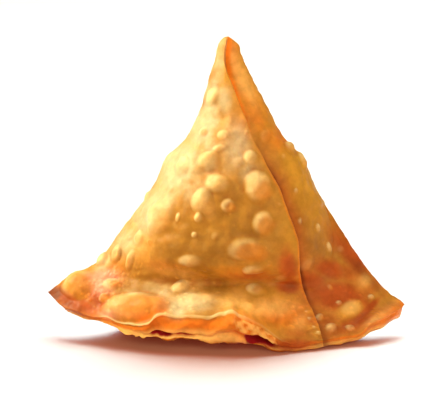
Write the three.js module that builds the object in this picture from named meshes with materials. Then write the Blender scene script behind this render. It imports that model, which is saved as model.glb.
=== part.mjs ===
// A fried samosa, standing on its base: one sheet of dough rolled into a cone, filled, and sealed along a hem.
// Units are millimetres and degrees. +Z is up, +X is to the right of someone facing the lapped front, and -Y is the
// front. The origin is under the middle of the part, on the surface that it stands on.
//
// The dough is laid out as a fan from the apex. A place on it is a reach, from 0 at the apex to 1 at the hem, and an
// across, from -1 at the left corner to 1 at the right one. The front panel is the fan itself, in a plane that leans
// back: its belly ends at a crease, and a flange runs on from there to the hem. The back panel leaves the same two
// side edges, goes down to the heel and comes forward as the base.
import * as THREE from "three";

// Driving dimensions.
const HEIGHT = 89; // apex above the resting face
const LEAN = 12; // the fan's plane leans back by this angle
const HEM_REACH = 93.5; // apex to hem, along the fan
const LAYER = 1.7; // the two layers together, where they are sealed at a side edge
const FLAP = 1; // thickness of a flap's edge
const SIDE_DROP = 12.5; // how far the side edges fall behind the fan's plane at the corners
const BOW = 19; // how far the hem bows forward between the corners
const CREASE_SHARE = 0.82; // the crease's reach
const FLAT_SOFTNESS = 1.6; // the base rounds into its flat spot over this height

// The mesh: rows from apex to hem, closer together near the hem, and columns on each side of a lap.
const ROWS = 60;
const HEM_CROWDING = 0.35;
const FRONT_COLUMNS = [36, 14];
const BACK_COLUMNS = [15, 15];
const HEM_STEPS = 9;
const FIRST_REACH = 0.018;
const SMALLEST_BLISTER = 1.6; // half width of the smallest one that the mesh can show

// Profiles, as pairs of reach and value.
const LEFT_SIDE = [[0, -64], [0.035, -48], [0.07, -31], [0.14, -24.5], [0.24, -21], [0.33, -22], [0.42, -26.4],
  [0.55, -27], [0.655, -28.5], [0.73, -29.4], [0.8, -29.9], [0.837, -30.7], [0.856, -31.5], [0.886, -33.5],
  [0.915, -34.2], [0.95, -34.6], [1, -35.5]];
const RIGHT_SIDE = [[0, 63], [0.035, 54], [0.07, 37], [0.12, 30.6], [0.35, 28.9], [0.43, 31.8], [0.58, 30.4],
  [0.8, 31], [0.915, 31.95], [0.947, 32.7], [0.966, 33.4], [1, 33.7]];
const SEAM_PATH = [[0, -12], [0.05, -10.5], [0.086, -7.4], [0.124, -1.7], [0.178, 4.9], [0.26, 9.8],
  [0.34, 12.4], [0.43, 15.6], [0.52, 17.6], [0.66, 17.8], [0.78, 16.4], [0.84, 16.3], [0.92, 16.8], [1, 17.2]];
const SEAM_LIFT = [[0, 0.9], [0.06, 1.5], [0.2, 1.1], [0.45, 1.6], [0.75, 2], [0.84, 1.4], [0.95, 1.1],
  [1, 0.3]];
const SEAM_HOLLOW = [[0, 0.2], [0.12, 1], [0.3, 1.9], [0.5, 2.8], [0.76, 3.4], [0.86, 1.6], [0.95, 0.6],
  [1, 0.1]];
const PLEAT_PATH = [[0, 0], [0.3, -1], [0.6, 2], [1, -2]];
const PLEAT_LIFT = [[0, 0.5], [0.3, 0.6], [0.5, 1.4], [0.66, 1.5], [0.8, 0.9], [1, 0.4]];
const PLEAT_HOLLOW = [[0, 0], [0.3, 0.2], [0.6, 1.3], [0.8, 0.7], [1, 0]];
const FRONT_SWELL = [[0, 0.8], [0.08, 2], [0.2, 5], [0.4, 9], [0.56, 11.2], [0.68, 11.8], [0.75, 9.6],
  [0.795, 5.4], [0.82, 3.4], [0.85, 4], [0.93, 7.6], [1, 10.6]];
const BOW_SHARE = [[0, 0], [0.5, 0.05], [0.7, 0.25], [0.82, 0.62], [1, 1]];
const ROUND_POWER = [[0, 2], [0.55, 2.1], [0.8, 2.6], [1, 3]];
const LEFT_FIN = [[0.6, 1], [0.74, 0.95], [0.82, 0.88], [1, 0.92]];
const RIGHT_FIN = [[0.6, 1], [0.7, 0.93], [0.77, 0.84], [0.82, 0.78], [0.9, 0.84], [1, 0.9]];

// The back panel's middle line, as reach, distance behind the apex and height. Below the floor it is pressed flat.
const BACK_LINE = [[0, 0.8, 89], [0.1, 4, 80.5], [0.22, 8.5, 69], [0.38, 14.5, 53], [0.52, 20, 37],
  [0.62, 23, 25], [0.7, 23.5, 14], [0.76, 19.5, 4], [0.81, 12, -4], [0.86, 3, -7], [0.91, -7, -4.6],
  [0.95, -15.5, -0.4], [1, -28.4, 3.5]];

// Profiles along the hem, as pairs of bearing from the apex and value: the crease's and the outer edge's distance
// from the apex, how far the front layer stops short of that edge, and how far its rim curls up.
const CREASE = [[-35, 78.5], [-28.6, 76], [-22, 76.8], [-17.5, 75.8], [-12, 73.9], [0, 72.8], [8, 73.4],
  [19, 76.6], [24.9, 75.2], [33, 78]];
const HEM_EDGE = [[-35, 93.6], [-31, 93.6], [-26, 92.2], [-22.4, 90.2], [-18, 90.6], [-13, 88.1], [-8, 87.2],
  [0, 87.9], [6, 88.6], [10, 92], [16, 93.8], [22, 95.5], [26, 96.6], [29, 97.5], [31.5, 97.4], [33.6, 95.8]];
const HEM_SHORT = [[-35, 0.3], [-23, 0.6], [-19.6, 1.6], [-15.2, 2], [-13.8, 4.5], [-10, 4.9], [-6, 4.8],
  [-3.7, 5.6], [-1.7, 7], [0.8, 8.4], [2.5, 6.8], [4.4, 4.8], [6.3, 3.6], [8, 2.6], [10, 1.3], [15, 1.1],
  [19, 1.1], [24, 1.4], [27.5, 2.8], [31, 2.4], [33.6, 0.5]];
const RIM_LIFT = [[-35, 0], [-24, 0.3], [-19, 0.4], [-13.6, 1], [-7, 0.6], [-3, 0.5], [1, 1.6], [5, 1.8],
  [8, 0.8], [16, 0.2], [22, 0.4], [27, 2.6], [31, 2.4], [33.4, 0.8]];
const HEM_ROUND = [[-35, 0.15], [18, 0.2], [25, 0.5], [33, 0.45]]; // swell of its face, as a share of the height
const VALLEY = [[21, 0], [26, 1.3], [31, 1.3], [33, 0.5]]; // depth of the dip inside the curled rim

// The slits in the hem's face between its layers: bearing, depth, place between the rims, half height.
const HEM_SLITS = [[-35, 0, 0.6, 0.1], [-17, 0.2, 0.6, 0.12], [-15, 0.6, 0.84, 0.05], [-14, 3.4, 0.84, 0.08],
  [-11.6, 3.4, 0.85, 0.08], [-10.6, 1, 0.85, 0.06], [-9.4, 2, 0.86, 0.05], [-7.6, 1.6, 0.86, 0.05],
  [-6, 0.5, 0.8, 0.05], [0.4, 0.8, 0.6, 0.08], [3, 0.8, 0.72, 0.1], [3.8, 4, 0.78, 0.16], [6.4, 5, 0.76, 0.2],
  [8, 3, 0.76, 0.16], [9, 0.5, 0.7, 0.1], [20, 0.2, 0.5, 0.1], [33, 0, 0.5, 0.1]];
const PINCH_DEPTH = 0.4; // the groove pressed along the crease
const RUFFLE = 0.25; // how far the rim rises and falls between the fingertips that pinched it

// Blisters on the front: across and down from the apex, half width, half height, lift, turn clockwise, and dent of
// the top.
const BLISTERS = [
  [9.1, 45.2, 4.8, 5.1, 1.7, 10, 0.15], [-2.5, 43.8, 4.5, 3.3, 1.5, 12, 0], [-7.3, 48.5, 3.7, 4.1, 1.8, 0, 0],
  [0.2, 50.1, 2.4, 2.4, 1.1, 0, 1], [-5.9, 36.8, 3.8, 3.1, 1.3, -15, 0], [6.6, 36.2, 2.5, 2.7, 0.9, 0, 0],
  [9.6, 55, 3.4, 4.4, 1.3, 8, 0.1], [5, 62.6, 6.2, 4, 1.4, 0, 0.6], [7.2, 68.3, 3.8, 2.4, 1, 0, 0],
  [-19.6, 53.5, 5.6, 6.4, 1.2, 8, 0.2], [-13.2, 38.3, 3.3, 3.3, 0.8, 0, 0], [-4.1, 17.9, 2.8, 3, 0.7, 0, 0],
  [-33, 64.4, 2.1, 3.2, 1.5, 10, 0.2], [-37.4, 65.8, 2.1, 2.5, 1.4, 0, 0.2], [-29, 66.5, 1.8, 4, 0.8, 15, 0],
  [-44.8, 73, 5.8, 5.6, 1.9, 0, 0], [-28.3, 79.5, 9.8, 5.2, 3.2, 12, 0], [-13.1, 73.3, 3.2, 2, 0.9, -8, 0],
  [7.9, 74.5, 3.4, 2.2, 0.8, 0, 0], [-8.4, 77.3, 7.5, 3.2, 0.6, 0, 0], [40.9, 72.4, 3.4, 3.4, 0.4, 0, 0],
  [37, 80.2, 4.6, 2.6, 0.45, -15, 0], [30.4, 85.7, 2.2, 2.3, 1.6, 0, 0], [18.2, 32.7, 2.2, 2.2, 1.3, 0, 0],
  [22.2, 36.6, 2.6, 3.6, 0.9, -20, 0], [-19, 36.1, 4, 4.6, 0.6, 20, 0], [-33.7, 73.2, 3.2, 2.2, 1, 10, 0],
  [-36.6, 77, 2, 1.6, 0.8, 0, 0], [-1.2, 29.4, 2.6, 1.7, 0.6, 0, 0], [-7.1, 28.2, 2.2, 2, 0.5, 0, 0],
  [-10.4, 65.8, 4.2, 2.2, 0.6, -6, 0], [-26.3, 59.5, 2.2, 2.6, 0.7, 0, 0], [-23.9, 47, 2, 2.4, 0.6, 0, 0],
  [27.1, 82.6, 1.7, 1.7, 0.8, 0, 0],
];

// How suddenly a dome's skin rises at its edge, and how it rounds off on top.
const DOME_SHARPNESS = 2.6;
const DOME_FULLNESS = 1.15;

// Smaller blisters strewn over the whole crust by a seeded rule, fewer and flatter on the front.
const STREWN = 150;
const STREWN_ON_FRONT = 0.3;
const STREWN_SIZE = [1.2, 3.2];
const FRONT_STREWN_LIFT = 0.12; // lift, as a share of the half width
const BACK_STREWN_LIFT = 0.28;
const SEED = 20;

const lean = THREE.MathUtils.degToRad(LEAN);
const DOWN = new THREE.Vector3(0, -Math.sin(lean), -Math.cos(lean));
const OUT = new THREE.Vector3(0, -Math.cos(lean), Math.sin(lean));
const APEX = new THREE.Vector3(0, 0, HEIGHT);

const clamp = THREE.MathUtils.clamp;
const mix = THREE.MathUtils.lerp;
const ease = THREE.MathUtils.smoothstep;
const bell = (at, place, width) => Math.exp(-(((at - place) / width) ** 2));

// A smooth curve through the stops of a profile, flat where it turns.
function follow(stops, at, column = 1) {
  const last = stops.length - 1;
  if (at <= stops[0][0]) return stops[0][column];
  if (at >= stops[last][0]) return stops[last][column];
  let i = 0;
  while (stops[i + 1][0] < at) i += 1;
  const rise = (k) => (stops[k + 1][column] - stops[k][column]) / (stops[k + 1][0] - stops[k][0]);
  const slope = (k) => {
    if (k === 0) return rise(0);
    if (k === last) return rise(last - 1);
    const before = rise(k - 1);
    const after = rise(k);
    return before * after <= 0 ? 0 : (2 * before * after) / (before + after);
  };
  const span = stops[i + 1][0] - stops[i][0];
  const t = (at - stops[i][0]) / span;
  const startShare = (1 + 2 * t) * (1 - t) ** 2;
  return startShare * stops[i][column] + (1 - startShare) * stops[i + 1][column]
    + span * (t * (1 - t) ** 2 * slope(i) - t * t * (1 - t) * slope(i + 1));
}

// A repeatable draw from 0 to 1.
function draws(seed) {
  let state = seed;
  return () => {
    state = (state * 1664525 + 1013904223) % 4294967296;
    return state / 4294967296;
  };
}

// The fan's side edges.
const bearingOf = (reach, across) =>
  mix(follow(LEFT_SIDE, reach), follow(RIGHT_SIDE, reach), (across + 1) / 2);
const acrossOf = (reach, bearing) => {
  const left = follow(LEFT_SIDE, reach);
  return (2 * (bearing - left)) / (follow(RIGHT_SIDE, reach) - left) - 1;
};

// The hem's uneven edges, and the rise and fall of its rim.
const raggedRim = (bearing) => 0.3 * Math.sin(0.57 * bearing + 1) + 0.2 * Math.sin(1.13 * bearing);
const raggedEdge = (bearing) => 0.3 * Math.sin(0.71 * bearing + 4) + 0.2 * Math.sin(1.6 * bearing + 1);
const ruffle = (bearing) => RUFFLE * (0.6 * Math.sin(0.9 * bearing + 0.6) * Math.sin(0.37 * bearing + 1)
  + 0.5 * Math.sin(2.1 * bearing) * Math.sin(0.23 * bearing + 2));

// Distances from the apex: the front layer's rim, and a place between the apex, the crease and the rim.
const rimReach = (bearing) => follow(HEM_EDGE, bearing) - follow(HEM_SHORT, bearing) + raggedRim(bearing);
function lengthAt(reach, bearing) {
  const past = clamp((reach - CREASE_SHARE) / (1 - CREASE_SHARE), 0, 1);
  return Math.min(reach / CREASE_SHARE, 1) * mix(follow(CREASE, bearing), rimReach(bearing), past);
}

// The reach of a place whose distance from the apex is known.
function reachOf(length, bearing) {
  const crease = follow(CREASE, bearing);
  if (length < crease) return (CREASE_SHARE * length) / crease;
  return Math.min(1, mix(CREASE_SHARE, 1, (length - crease) / (rimReach(bearing) - crease)));
}

// How far a panel stands off the sheet, as a share of its middle: nothing on the flat fins at the sides.
function roundness(reach, across) {
  const fin = follow(across < 0 ? LEFT_FIN : RIGHT_FIN, reach);
  const inside = Math.max(0, 1 - Math.min(1, Math.abs(across) / fin) ** follow(ROUND_POWER, reach));
  return inside ** mix(0.5, 0.9, ease(reach, 0.55, 0.74));
}

// Half the thickness of the sealed side edges, and how the hem's layers close towards the corners.
const sealed = (reach, across) => LAYER * ease(reach, 0.5, 0.75) * (1 - roundness(reach, across))
  * Math.sqrt(clamp((1 - Math.abs(across)) / 0.06, 0, 1));
const cornerClose = (across) => Math.sqrt(clamp((1 - Math.abs(across)) / 0.05, 0, 1));

function fanPoint(length, bearing, out) {
  const angle = THREE.MathUtils.degToRad(bearing);
  return APEX.clone()
    .add(new THREE.Vector3(length * Math.sin(angle), 0, 0))
    .addScaledVector(DOWN, length * Math.cos(angle))
    .addScaledVector(OUT, out);
}

// The sheet that both panels leave from: the side edges, joined across and bowed forward near the hem.
function sheetPoint(length, reach, across) {
  const bow = BOW * follow(BOW_SHARE, reach) * (1 - across * across);
  return fanPoint(length, bearingOf(reach, across), bow - SIDE_DROP * reach);
}

function frontPoint(reach, across) {
  const bearing = bearingOf(reach, across);
  const proud = follow(FRONT_SWELL, reach) + SIDE_DROP * reach - BOW * follow(BOW_SHARE, reach);
  const curl = follow(RIM_LIFT, bearing) * ease(reach, 0.95, 1) * Math.min(1, (1 - Math.abs(across)) / 0.05);
  return sheetPoint(lengthAt(reach, bearing), reach, across)
    .addScaledVector(OUT, proud * roundness(reach, across) + sealed(reach, across) + curl);
}

function backPoint(reach, across) {
  const fullLength = (where) => {
    const bearing = bearingOf(reach, where);
    const short = follow(HEM_SHORT, bearing) + raggedEdge(bearing) - raggedRim(bearing);
    return lengthAt(reach, bearing) + ease(reach, 0.8, 1) * short * cornerClose(where);
  };
  const middle = sheetPoint(fullLength(0), reach, 0);
  const line = new THREE.Vector3(middle.x, follow(BACK_LINE, reach), follow(BACK_LINE, reach, 2));
  return sheetPoint(fullLength(across), reach, across)
    .addScaledVector(line.sub(middle), roundness(reach, across))
    .addScaledVector(OUT, -sealed(reach, across));
}

// The outward direction of a panel, from its slopes.
function outward(panel, reach, across) {
  const step = 0.004;
  const low = clamp(reach, 0.02, 1 - step);
  const side = clamp(across, -0.995, 0.995 - step);
  const here = panel.point(low, side);
  const down = panel.point(low + step, side).sub(here);
  const over = panel.point(low, side + step).sub(here);
  return down.cross(over).normalize().multiplyScalar(panel.sign);
}

// The two sides of the cone. In a lap, the flap's lift dies away from its edge over the first fade, and the hollow
// that it lies over does over the second.
const FRONT = {
  point: frontPoint,
  sign: 1,
  lap: { path: SEAM_PATH, lift: SEAM_LIFT, hollow: SEAM_HOLLOW, undercut: 2, fades: [9, 15] },
  columns: FRONT_COLUMNS,
};
const BACK = {
  point: backPoint,
  sign: -1,
  lap: { path: PLEAT_PATH, lift: PLEAT_LIFT, hollow: PLEAT_HOLLOW, undercut: 1.2, fades: [10, 12] },
  columns: BACK_COLUMNS,
};

// The columns of a panel: over the lap's flap, round its edge into the slit, and on across the lower layer.
function lapColumns(panel) {
  const [before, after] = panel.columns;
  const flap = Array.from({ length: before + 1 }, (_, i) => ({ kind: "flap", share: i / before }));
  const under = Array.from({ length: after + 1 }, (_, i) => ({ kind: "under", share: i / after }));
  return [...flap, { kind: "edge" }, { kind: "slit" }, ...under];
}

// Where a column runs at a reach, and how far the lap moves the surface there.
function lapState(panel, column, reach) {
  const { path, lift, hollow, undercut, fades } = panel.lap;
  const edge = acrossOf(reach, follow(path, reach));
  const spread = THREE.MathUtils.degToRad(bearingOf(reach, 1) - bearingOf(reach, -1));
  const halfWidth = Math.max(1, reach * HEM_REACH * spread) / 2;
  const up = follow(lift, reach);
  const down = follow(hollow, reach);
  const lip = up - Math.min(FLAP, 0.6 * (up + down));
  const bunch = (t) => mix(t, 1 - Math.cos((t * Math.PI) / 2), 0.6);
  if (column.kind === "flap") {
    const across = mix(-1, edge, bunch(column.share));
    return { across, raise: up * Math.exp((-(edge - across) * halfWidth) / fades[0]) };
  }
  if (column.kind === "edge") return { across: edge, raise: lip };
  if (column.kind === "slit") {
    return { across: edge - (undercut * ease(reach, 0, 0.2)) / halfWidth - 0.01, raise: (lip - down) / 2 };
  }
  const across = mix(1, edge, bunch(1 - column.share));
  return { across, raise: -down * (1 - ease((across - edge) * halfWidth, -0.3 * fades[1], fades[1])) };
}

// A blister's place on the crust: its centre, the way it faces and its own axes.
function blisterAt(panel, reach, across, [halfWidth, halfHeight, lift, turn, dent]) {
  const centre = panel.point(reach, across);
  const facing = outward(panel, reach, across);
  const angle = THREE.MathUtils.degToRad(turn);
  const wide = new THREE.Vector3(Math.cos(angle), 0, 0).addScaledVector(DOWN, Math.sin(angle));
  wide.addScaledVector(facing, -wide.dot(facing)).normalize();
  const tall = facing.clone().cross(wide);
  return { centre, facing, wide, tall, halfWidth, halfHeight, lift, dent };
}

function placedBlisters() {
  return BLISTERS.map(([sideways, down, ...shape]) => {
    const bearing = THREE.MathUtils.radToDeg(Math.atan2(sideways, down));
    const reach = reachOf(Math.hypot(sideways, down), bearing);
    return blisterAt(FRONT, reach, acrossOf(reach, bearing), shape);
  });
}

// Small blisters, kept clear of the ones before them.
function strewnBlisters(placed) {
  const draw = draws(SEED);
  const kept = [...placed];
  for (let i = 0; i < STREWN; i += 1) {
    const [panel, share] = draw() < STREWN_ON_FRONT ? [FRONT, FRONT_STREWN_LIFT] : [BACK, BACK_STREWN_LIFT];
    const reach = Math.sqrt(mix(0.03, 0.97, draw()));
    const across = mix(-0.94, 0.94, draw());
    const size = mix(...STREWN_SIZE, draw() ** 2);
    const squeeze = mix(0.75, 1.15, draw());
    const turn = mix(-80, 80, draw());
    const made = blisterAt(panel, reach, across, [size, size * squeeze, size * share, turn, 0]);
    const free = kept.every((other) =>
      other.centre.distanceTo(made.centre) > 0.95 * (size + Math.max(other.halfWidth, other.halfHeight)));
    if (free) kept.push(made);
  }
  return kept.filter(({ halfWidth, halfHeight }) => Math.min(halfWidth, halfHeight) >= SMALLEST_BLISTER);
}

// How the blisters move a place that faces a given way: domes, dented in the middle, on a slightly sunken ring.
function blisterRaise(blisters, place, facing) {
  const raise = new THREE.Vector3();
  for (const blister of blisters) {
    const { halfWidth, halfHeight, lift, dent } = blister;
    const from = place.clone().sub(blister.centre);
    const distance = Math.hypot(
      from.dot(blister.wide) / halfWidth,
      from.dot(blister.tall) / halfHeight,
      from.dot(blister.facing) / Math.max(halfWidth, halfHeight),
    );
    const dome = distance < 1 ? (1 - distance ** DOME_SHARPNESS) ** DOME_FULLNESS : 0;
    const agree = ease(facing.dot(blister.facing), 0.1, 0.5);
    const height = dome * (1 - dent * bell(distance, 0, 0.5)) - 0.04 * bell(distance, 1.08, 0.12);
    raise.addScaledVector(blister.facing, agree * lift * height);
  }
  return raise;
}

// Slow unevenness of hand-rolled dough.
function unevenness({ x, y, z }) {
  return 0.5 * Math.sin(0.19 * x + 0.11 * z + 1.3) * Math.sin(0.16 * z - 0.13 * y + 0.4)
    + 0.35 * Math.sin(0.41 * x - 0.23 * y + 2.1) * Math.sin(0.37 * z + 0.8)
    + 0.1 * Math.sin(0.83 * x + 0.6 * z + 0.7) * Math.sin(0.71 * z - 0.5 * x + 0.4 * y);
}

// What the fingers left on the front: the groove along the crease, the rim's ruffles and the dip inside its curl.
function pressed(reach, across) {
  const bearing = bearingOf(reach, across);
  const share = roundness(reach, across);
  return -PINCH_DEPTH * bell(reach, CREASE_SHARE, 0.02) * share
    + ruffle(bearing) * ease(reach, 0.97, 1) * ease(share, 0, 0.3)
    - follow(VALLEY, bearing) * bell(reach, 0.965, 0.018);
}

// Presses what is below the floor into a flat spot with a soft edge.
function settle(place) {
  if (place.z < FLAT_SOFTNESS) {
    place.z = place.z < -FLAT_SOFTNESS ? 0 : (place.z + FLAT_SOFTNESS) ** 2 / (4 * FLAT_SOFTNESS);
  }
  return place;
}

function crustPoint(panel, blisters, reach, column) {
  const { across, raise } = lapState(panel, column, reach);
  const place = panel.point(reach, across);
  const facing = outward(panel, reach, across);
  const share = roundness(reach, across);
  const loose = column.kind === "slit" || column.kind === "edge" ? 0.8 : 1;
  let rough = unevenness(place) * clamp(reach / 0.05, 0, 1) * Math.sqrt(share);
  if (panel === FRONT) rough += pressed(reach, across);
  const blister = blisterRaise(blisters, place, facing);
  return settle(place.addScaledVector(facing, raise * share + rough * loose).addScaledVector(blister, loose));
}

// How far the hem's face stands forward of the line between its two rims: rounded, with lips, slit between layers.
function hemForward(share, bearing) {
  const [depth, middle, half] = [1, 2, 3].map((column) => follow(HEM_SLITS, bearing, column));
  const short = follow(HEM_SHORT, bearing);
  const middling = Math.sin(Math.PI * share);
  const lips = 0.5 * bell(share, 0.04, 0.06) + 0.4 * bell(share, 0.93, 0.08);
  const wavy = 0.3 * Math.sin(0.8 * bearing + 5 * share) * middling;
  return Math.min(1, short / 3) * (lips + wavy) + follow(HEM_ROUND, bearing) * short * middling
    - depth * Math.exp(-(((share - middle) / half) ** 4));
}

function hemLine(share, frontColumns, frontRim) {
  return frontColumns.map((column, j) => {
    const { across } = lapState(FRONT, column, 1);
    const bearing = bearingOf(1, across);
    const angle = THREE.MathUtils.degToRad(bearing);
    const forward = new THREE.Vector3(0.35 * Math.sin(angle), 0, 0)
      .addScaledVector(DOWN, 0.35 * Math.cos(angle))
      .addScaledVector(OUT, 0.94);
    const place = frontRim[j].clone().lerp(settle(backPoint(1, across)), share);
    return place.addScaledVector(forward, hemForward(share, bearing) * cornerClose(across));
  });
}

// A closed skin, collected point by point and face by face.
class Skin {
  points = [];

  faces = [];

  add(place) {
    return this.points.push(place) - 1;
  }

  face(a, b, c) {
    if (a !== b && b !== c && c !== a) this.faces.push(a, b, c);
  }

  // Faces between an upper and a lower line of as many points, both running left to right.
  band(upper, lower) {
    for (let j = 0; j + 1 < upper.length; j += 1) {
      this.face(upper[j], lower[j], lower[j + 1]);
      this.face(upper[j], lower[j + 1], upper[j + 1]);
    }
  }

  // The same between lines with different numbers of points.
  zip(upper, lower) {
    let i = 0;
    let k = 0;
    const x = (index) => this.points[index].x;
    while (i + 1 < upper.length || k + 1 < lower.length) {
      const lowerDone = k + 1 >= lower.length;
      if (i + 1 >= upper.length || (!lowerDone && x(lower[k + 1]) < x(upper[i + 1]))) {
        this.face(upper[i], lower[k], lower[k + 1]);
        k += 1;
      } else {
        this.face(upper[i], lower[k], upper[i + 1]);
        i += 1;
      }
    }
  }

  geometry() {
    const made = new THREE.BufferGeometry().setFromPoints(this.points);
    made.setIndex(this.faces);
    made.computeVertexNormals();
    return made;
  }
}

function buildCrust() {
  const skin = new Skin();
  const blisters = strewnBlisters(placedBlisters());
  const frontColumns = lapColumns(FRONT);
  const backColumns = lapColumns(BACK).slice(1, -1).reverse();
  let ring = [];
  for (let row = 0; row < ROWS; row += 1) {
    const step = row / (ROWS - 1);
    const reach = mix(FIRST_REACH, 1, mix(step, Math.sin((step * Math.PI) / 2), HEM_CROWDING));
    const above = ring;
    ring = [
      ...frontColumns.map((column) => skin.add(crustPoint(FRONT, blisters, reach, column))),
      ...backColumns.map((column) => skin.add(crustPoint(BACK, blisters, reach, column))),
    ];
    ring.push(ring[0]);
    if (row > 0) {
      skin.band(above, ring);
    } else {
      const tip = skin.add(APEX.clone());
      for (let j = 0; j + 1 < ring.length; j += 1) skin.face(tip, ring[j], ring[j + 1]);
    }
  }

  const frontRim = ring.slice(0, frontColumns.length);
  const backRim = ring.slice(frontColumns.length - 1).reverse();
  const rimPlaces = frontRim.map((index) => skin.points[index]);
  let upper = frontRim;
  for (let step = 1; step < HEM_STEPS; step += 1) {
    const line = hemLine(step / HEM_STEPS, frontColumns, rimPlaces);
    const inner = line.slice(1, -1).map((place) => skin.add(settle(place)));
    const lower = [frontRim[0], ...inner, frontRim[frontRim.length - 1]];
    skin.band(upper, lower);
    upper = lower;
  }
  skin.zip(upper, backRim);
  return skin.geometry();
}

const crust = new THREE.Mesh(
  buildCrust(),
  new THREE.MeshStandardMaterial({ color: "#cf8a3c", roughness: 0.42, metalness: 0 }),
);
crust.name = "samosa";

// The origin goes under the middle of the part.
crust.geometry.computeBoundingBox();
const { min, max } = crust.geometry.boundingBox;
crust.position.set(-(min.x + max.x) / 2, -(min.y + max.y) / 2, -min.z);

const samosa = new THREE.Group();
samosa.add(crust);

export default samosa;
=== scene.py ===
"""A fried samosa on a pale studio floor.

The crust is one closed skin. It is laid out as a fan from the apex: a place on it is a reach, from 0 at the
apex to 1 at the hem, and an across, from -1 at the left corner to 1 at the right one. A bearing is the angle
between a line from the apex and the one straight down the front. Shape tables are in millimetres and degrees,
and everything that is handed to Blender is in metres.
"""
import math

import bpy
import numpy as np
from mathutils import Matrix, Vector


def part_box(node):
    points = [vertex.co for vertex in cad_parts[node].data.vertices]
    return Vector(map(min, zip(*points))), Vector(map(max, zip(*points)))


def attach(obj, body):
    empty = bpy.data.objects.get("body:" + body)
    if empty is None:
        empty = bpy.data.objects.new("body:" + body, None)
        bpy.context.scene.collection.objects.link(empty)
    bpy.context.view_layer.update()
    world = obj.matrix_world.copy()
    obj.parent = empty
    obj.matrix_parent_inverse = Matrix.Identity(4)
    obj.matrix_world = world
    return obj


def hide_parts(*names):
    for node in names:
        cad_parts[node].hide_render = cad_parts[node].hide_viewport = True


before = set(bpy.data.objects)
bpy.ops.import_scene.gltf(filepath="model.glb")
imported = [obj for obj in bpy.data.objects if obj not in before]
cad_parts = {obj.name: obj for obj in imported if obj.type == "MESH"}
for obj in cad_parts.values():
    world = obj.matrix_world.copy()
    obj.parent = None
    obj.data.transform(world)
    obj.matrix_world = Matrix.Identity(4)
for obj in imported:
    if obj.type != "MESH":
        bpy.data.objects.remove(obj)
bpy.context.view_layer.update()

bl_info = {
    "name": "Fried Samosa",
    "version": (1, 0, 0),
    "blender": (4, 5, 0),
    "location": "View3D > Sidebar > Samosa",
    "description": "Builds a blistered samosa crust, with its seam and hem, and a studio around it",
    "category": "Add Mesh",
}

MM = 0.001
NODE = "samosa"
BODY = "root"

# ----------------------------------------------------------------------------------------------------
# The dough's form
# ----------------------------------------------------------------------------------------------------
# The whole height, how far the front leans back, and apex to hem down the middle.
HEIGHT = 89.0
LEAN = math.radians(12)
HEM_REACH = 93.5
# How thick one layer is at the side edges, and the flap at its edge.
LAYER = 1.7
FLAP = 1.0
# How far the side edges fall back by the hem, and how far the hem's middle bows forward of them.
SIDE_DROP = 12.5
BOW = 19.0
# How softly the base is pressed flat, and the reach of the crease above the hem.
FLAT_SOFTNESS = 1.6
CREASE_SHARE = 0.82

# Down from the apex: reach, then the bearing of the left and the right edge.
LEFT_SIDE = [(0, -64), (0.035, -48), (0.07, -31), (0.14, -24.5), (0.24, -21), (0.33, -22), (0.42, -26.4),
             (0.55, -27), (0.655, -28.5), (0.73, -29.4), (0.8, -29.9), (0.837, -30.7), (0.856, -31.5),
             (0.886, -33.5), (0.915, -34.2), (0.95, -34.6), (1, -35.5)]
RIGHT_SIDE = [(0, 63), (0.035, 54), (0.07, 37), (0.12, 30.6), (0.35, 28.9), (0.43, 31.8), (0.58, 30.4),
              (0.8, 31), (0.915, 31.95), (0.947, 32.7), (0.966, 33.4), (1, 33.7)]
# The front's lapped seam and the back's pleat: reach, then the bearing of the flap's edge, how far the flap
# stands proud of it, and how far the layer beside it sinks.
SEAM_PATH = [(0, -12), (0.05, -10.5), (0.086, -7.4), (0.124, -1.7), (0.178, 4.9), (0.26, 9.8),
             (0.34, 12.4), (0.43, 15.6), (0.52, 17.6), (0.66, 17.8), (0.78, 16.4), (0.84, 16.3),
             (0.92, 16.8), (1, 17.2)]
SEAM_LIFT = [(0, 0.9), (0.06, 1.5), (0.2, 1.1), (0.45, 1.6), (0.75, 2), (0.84, 1.4), (0.95, 1.1),
             (1, 0.3)]
SEAM_HOLLOW = [(0, 0.2), (0.12, 1), (0.3, 1.9), (0.5, 2.8), (0.76, 3.4), (0.86, 1.6), (0.95, 0.6),
               (1, 0.1)]
PLEAT_PATH = [(0, 0), (0.3, -1), (0.6, 2), (1, -2)]
PLEAT_LIFT = [(0, 0.5), (0.3, 0.6), (0.5, 1.4), (0.66, 1.5), (0.8, 0.9), (1, 0.4)]
PLEAT_HOLLOW = [(0, 0), (0.3, 0.2), (0.6, 1.3), (0.8, 0.7), (1, 0)]
# How far the flap is undercut at the seam and at the pleat, and over what width the two layers even out.
SEAM_UNDERCUT, SEAM_FADE = 2, (9, 15)
PLEAT_UNDERCUT, PLEAT_FADE = 1.2, (10, 12)
# Reach, then how far the front's middle swells, its share of the bow, and how boxy a panel's section is.
FRONT_SWELL = [(0, 0.8), (0.08, 2), (0.2, 5), (0.4, 9), (0.56, 11.2), (0.68, 11.8), (0.75, 9.6),
               (0.795, 5.4), (0.82, 3.4), (0.85, 4), (0.93, 7.6), (1, 10.6)]
BOW_SHARE = [(0, 0), (0.5, 0.05), (0.7, 0.25), (0.82, 0.62), (1, 1)]
ROUND_POWER = [(0, 2), (0.55, 2.1), (0.8, 2.6), (1, 3)]
# Reach, then the share of each half that is full. The rest is a flat fin.
LEFT_FIN = [(0.6, 1), (0.74, 0.95), (0.82, 0.88), (1, 0.92)]
RIGHT_FIN = [(0.6, 1), (0.7, 0.93), (0.77, 0.84), (0.82, 0.78), (0.9, 0.84), (1, 0.9)]
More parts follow.
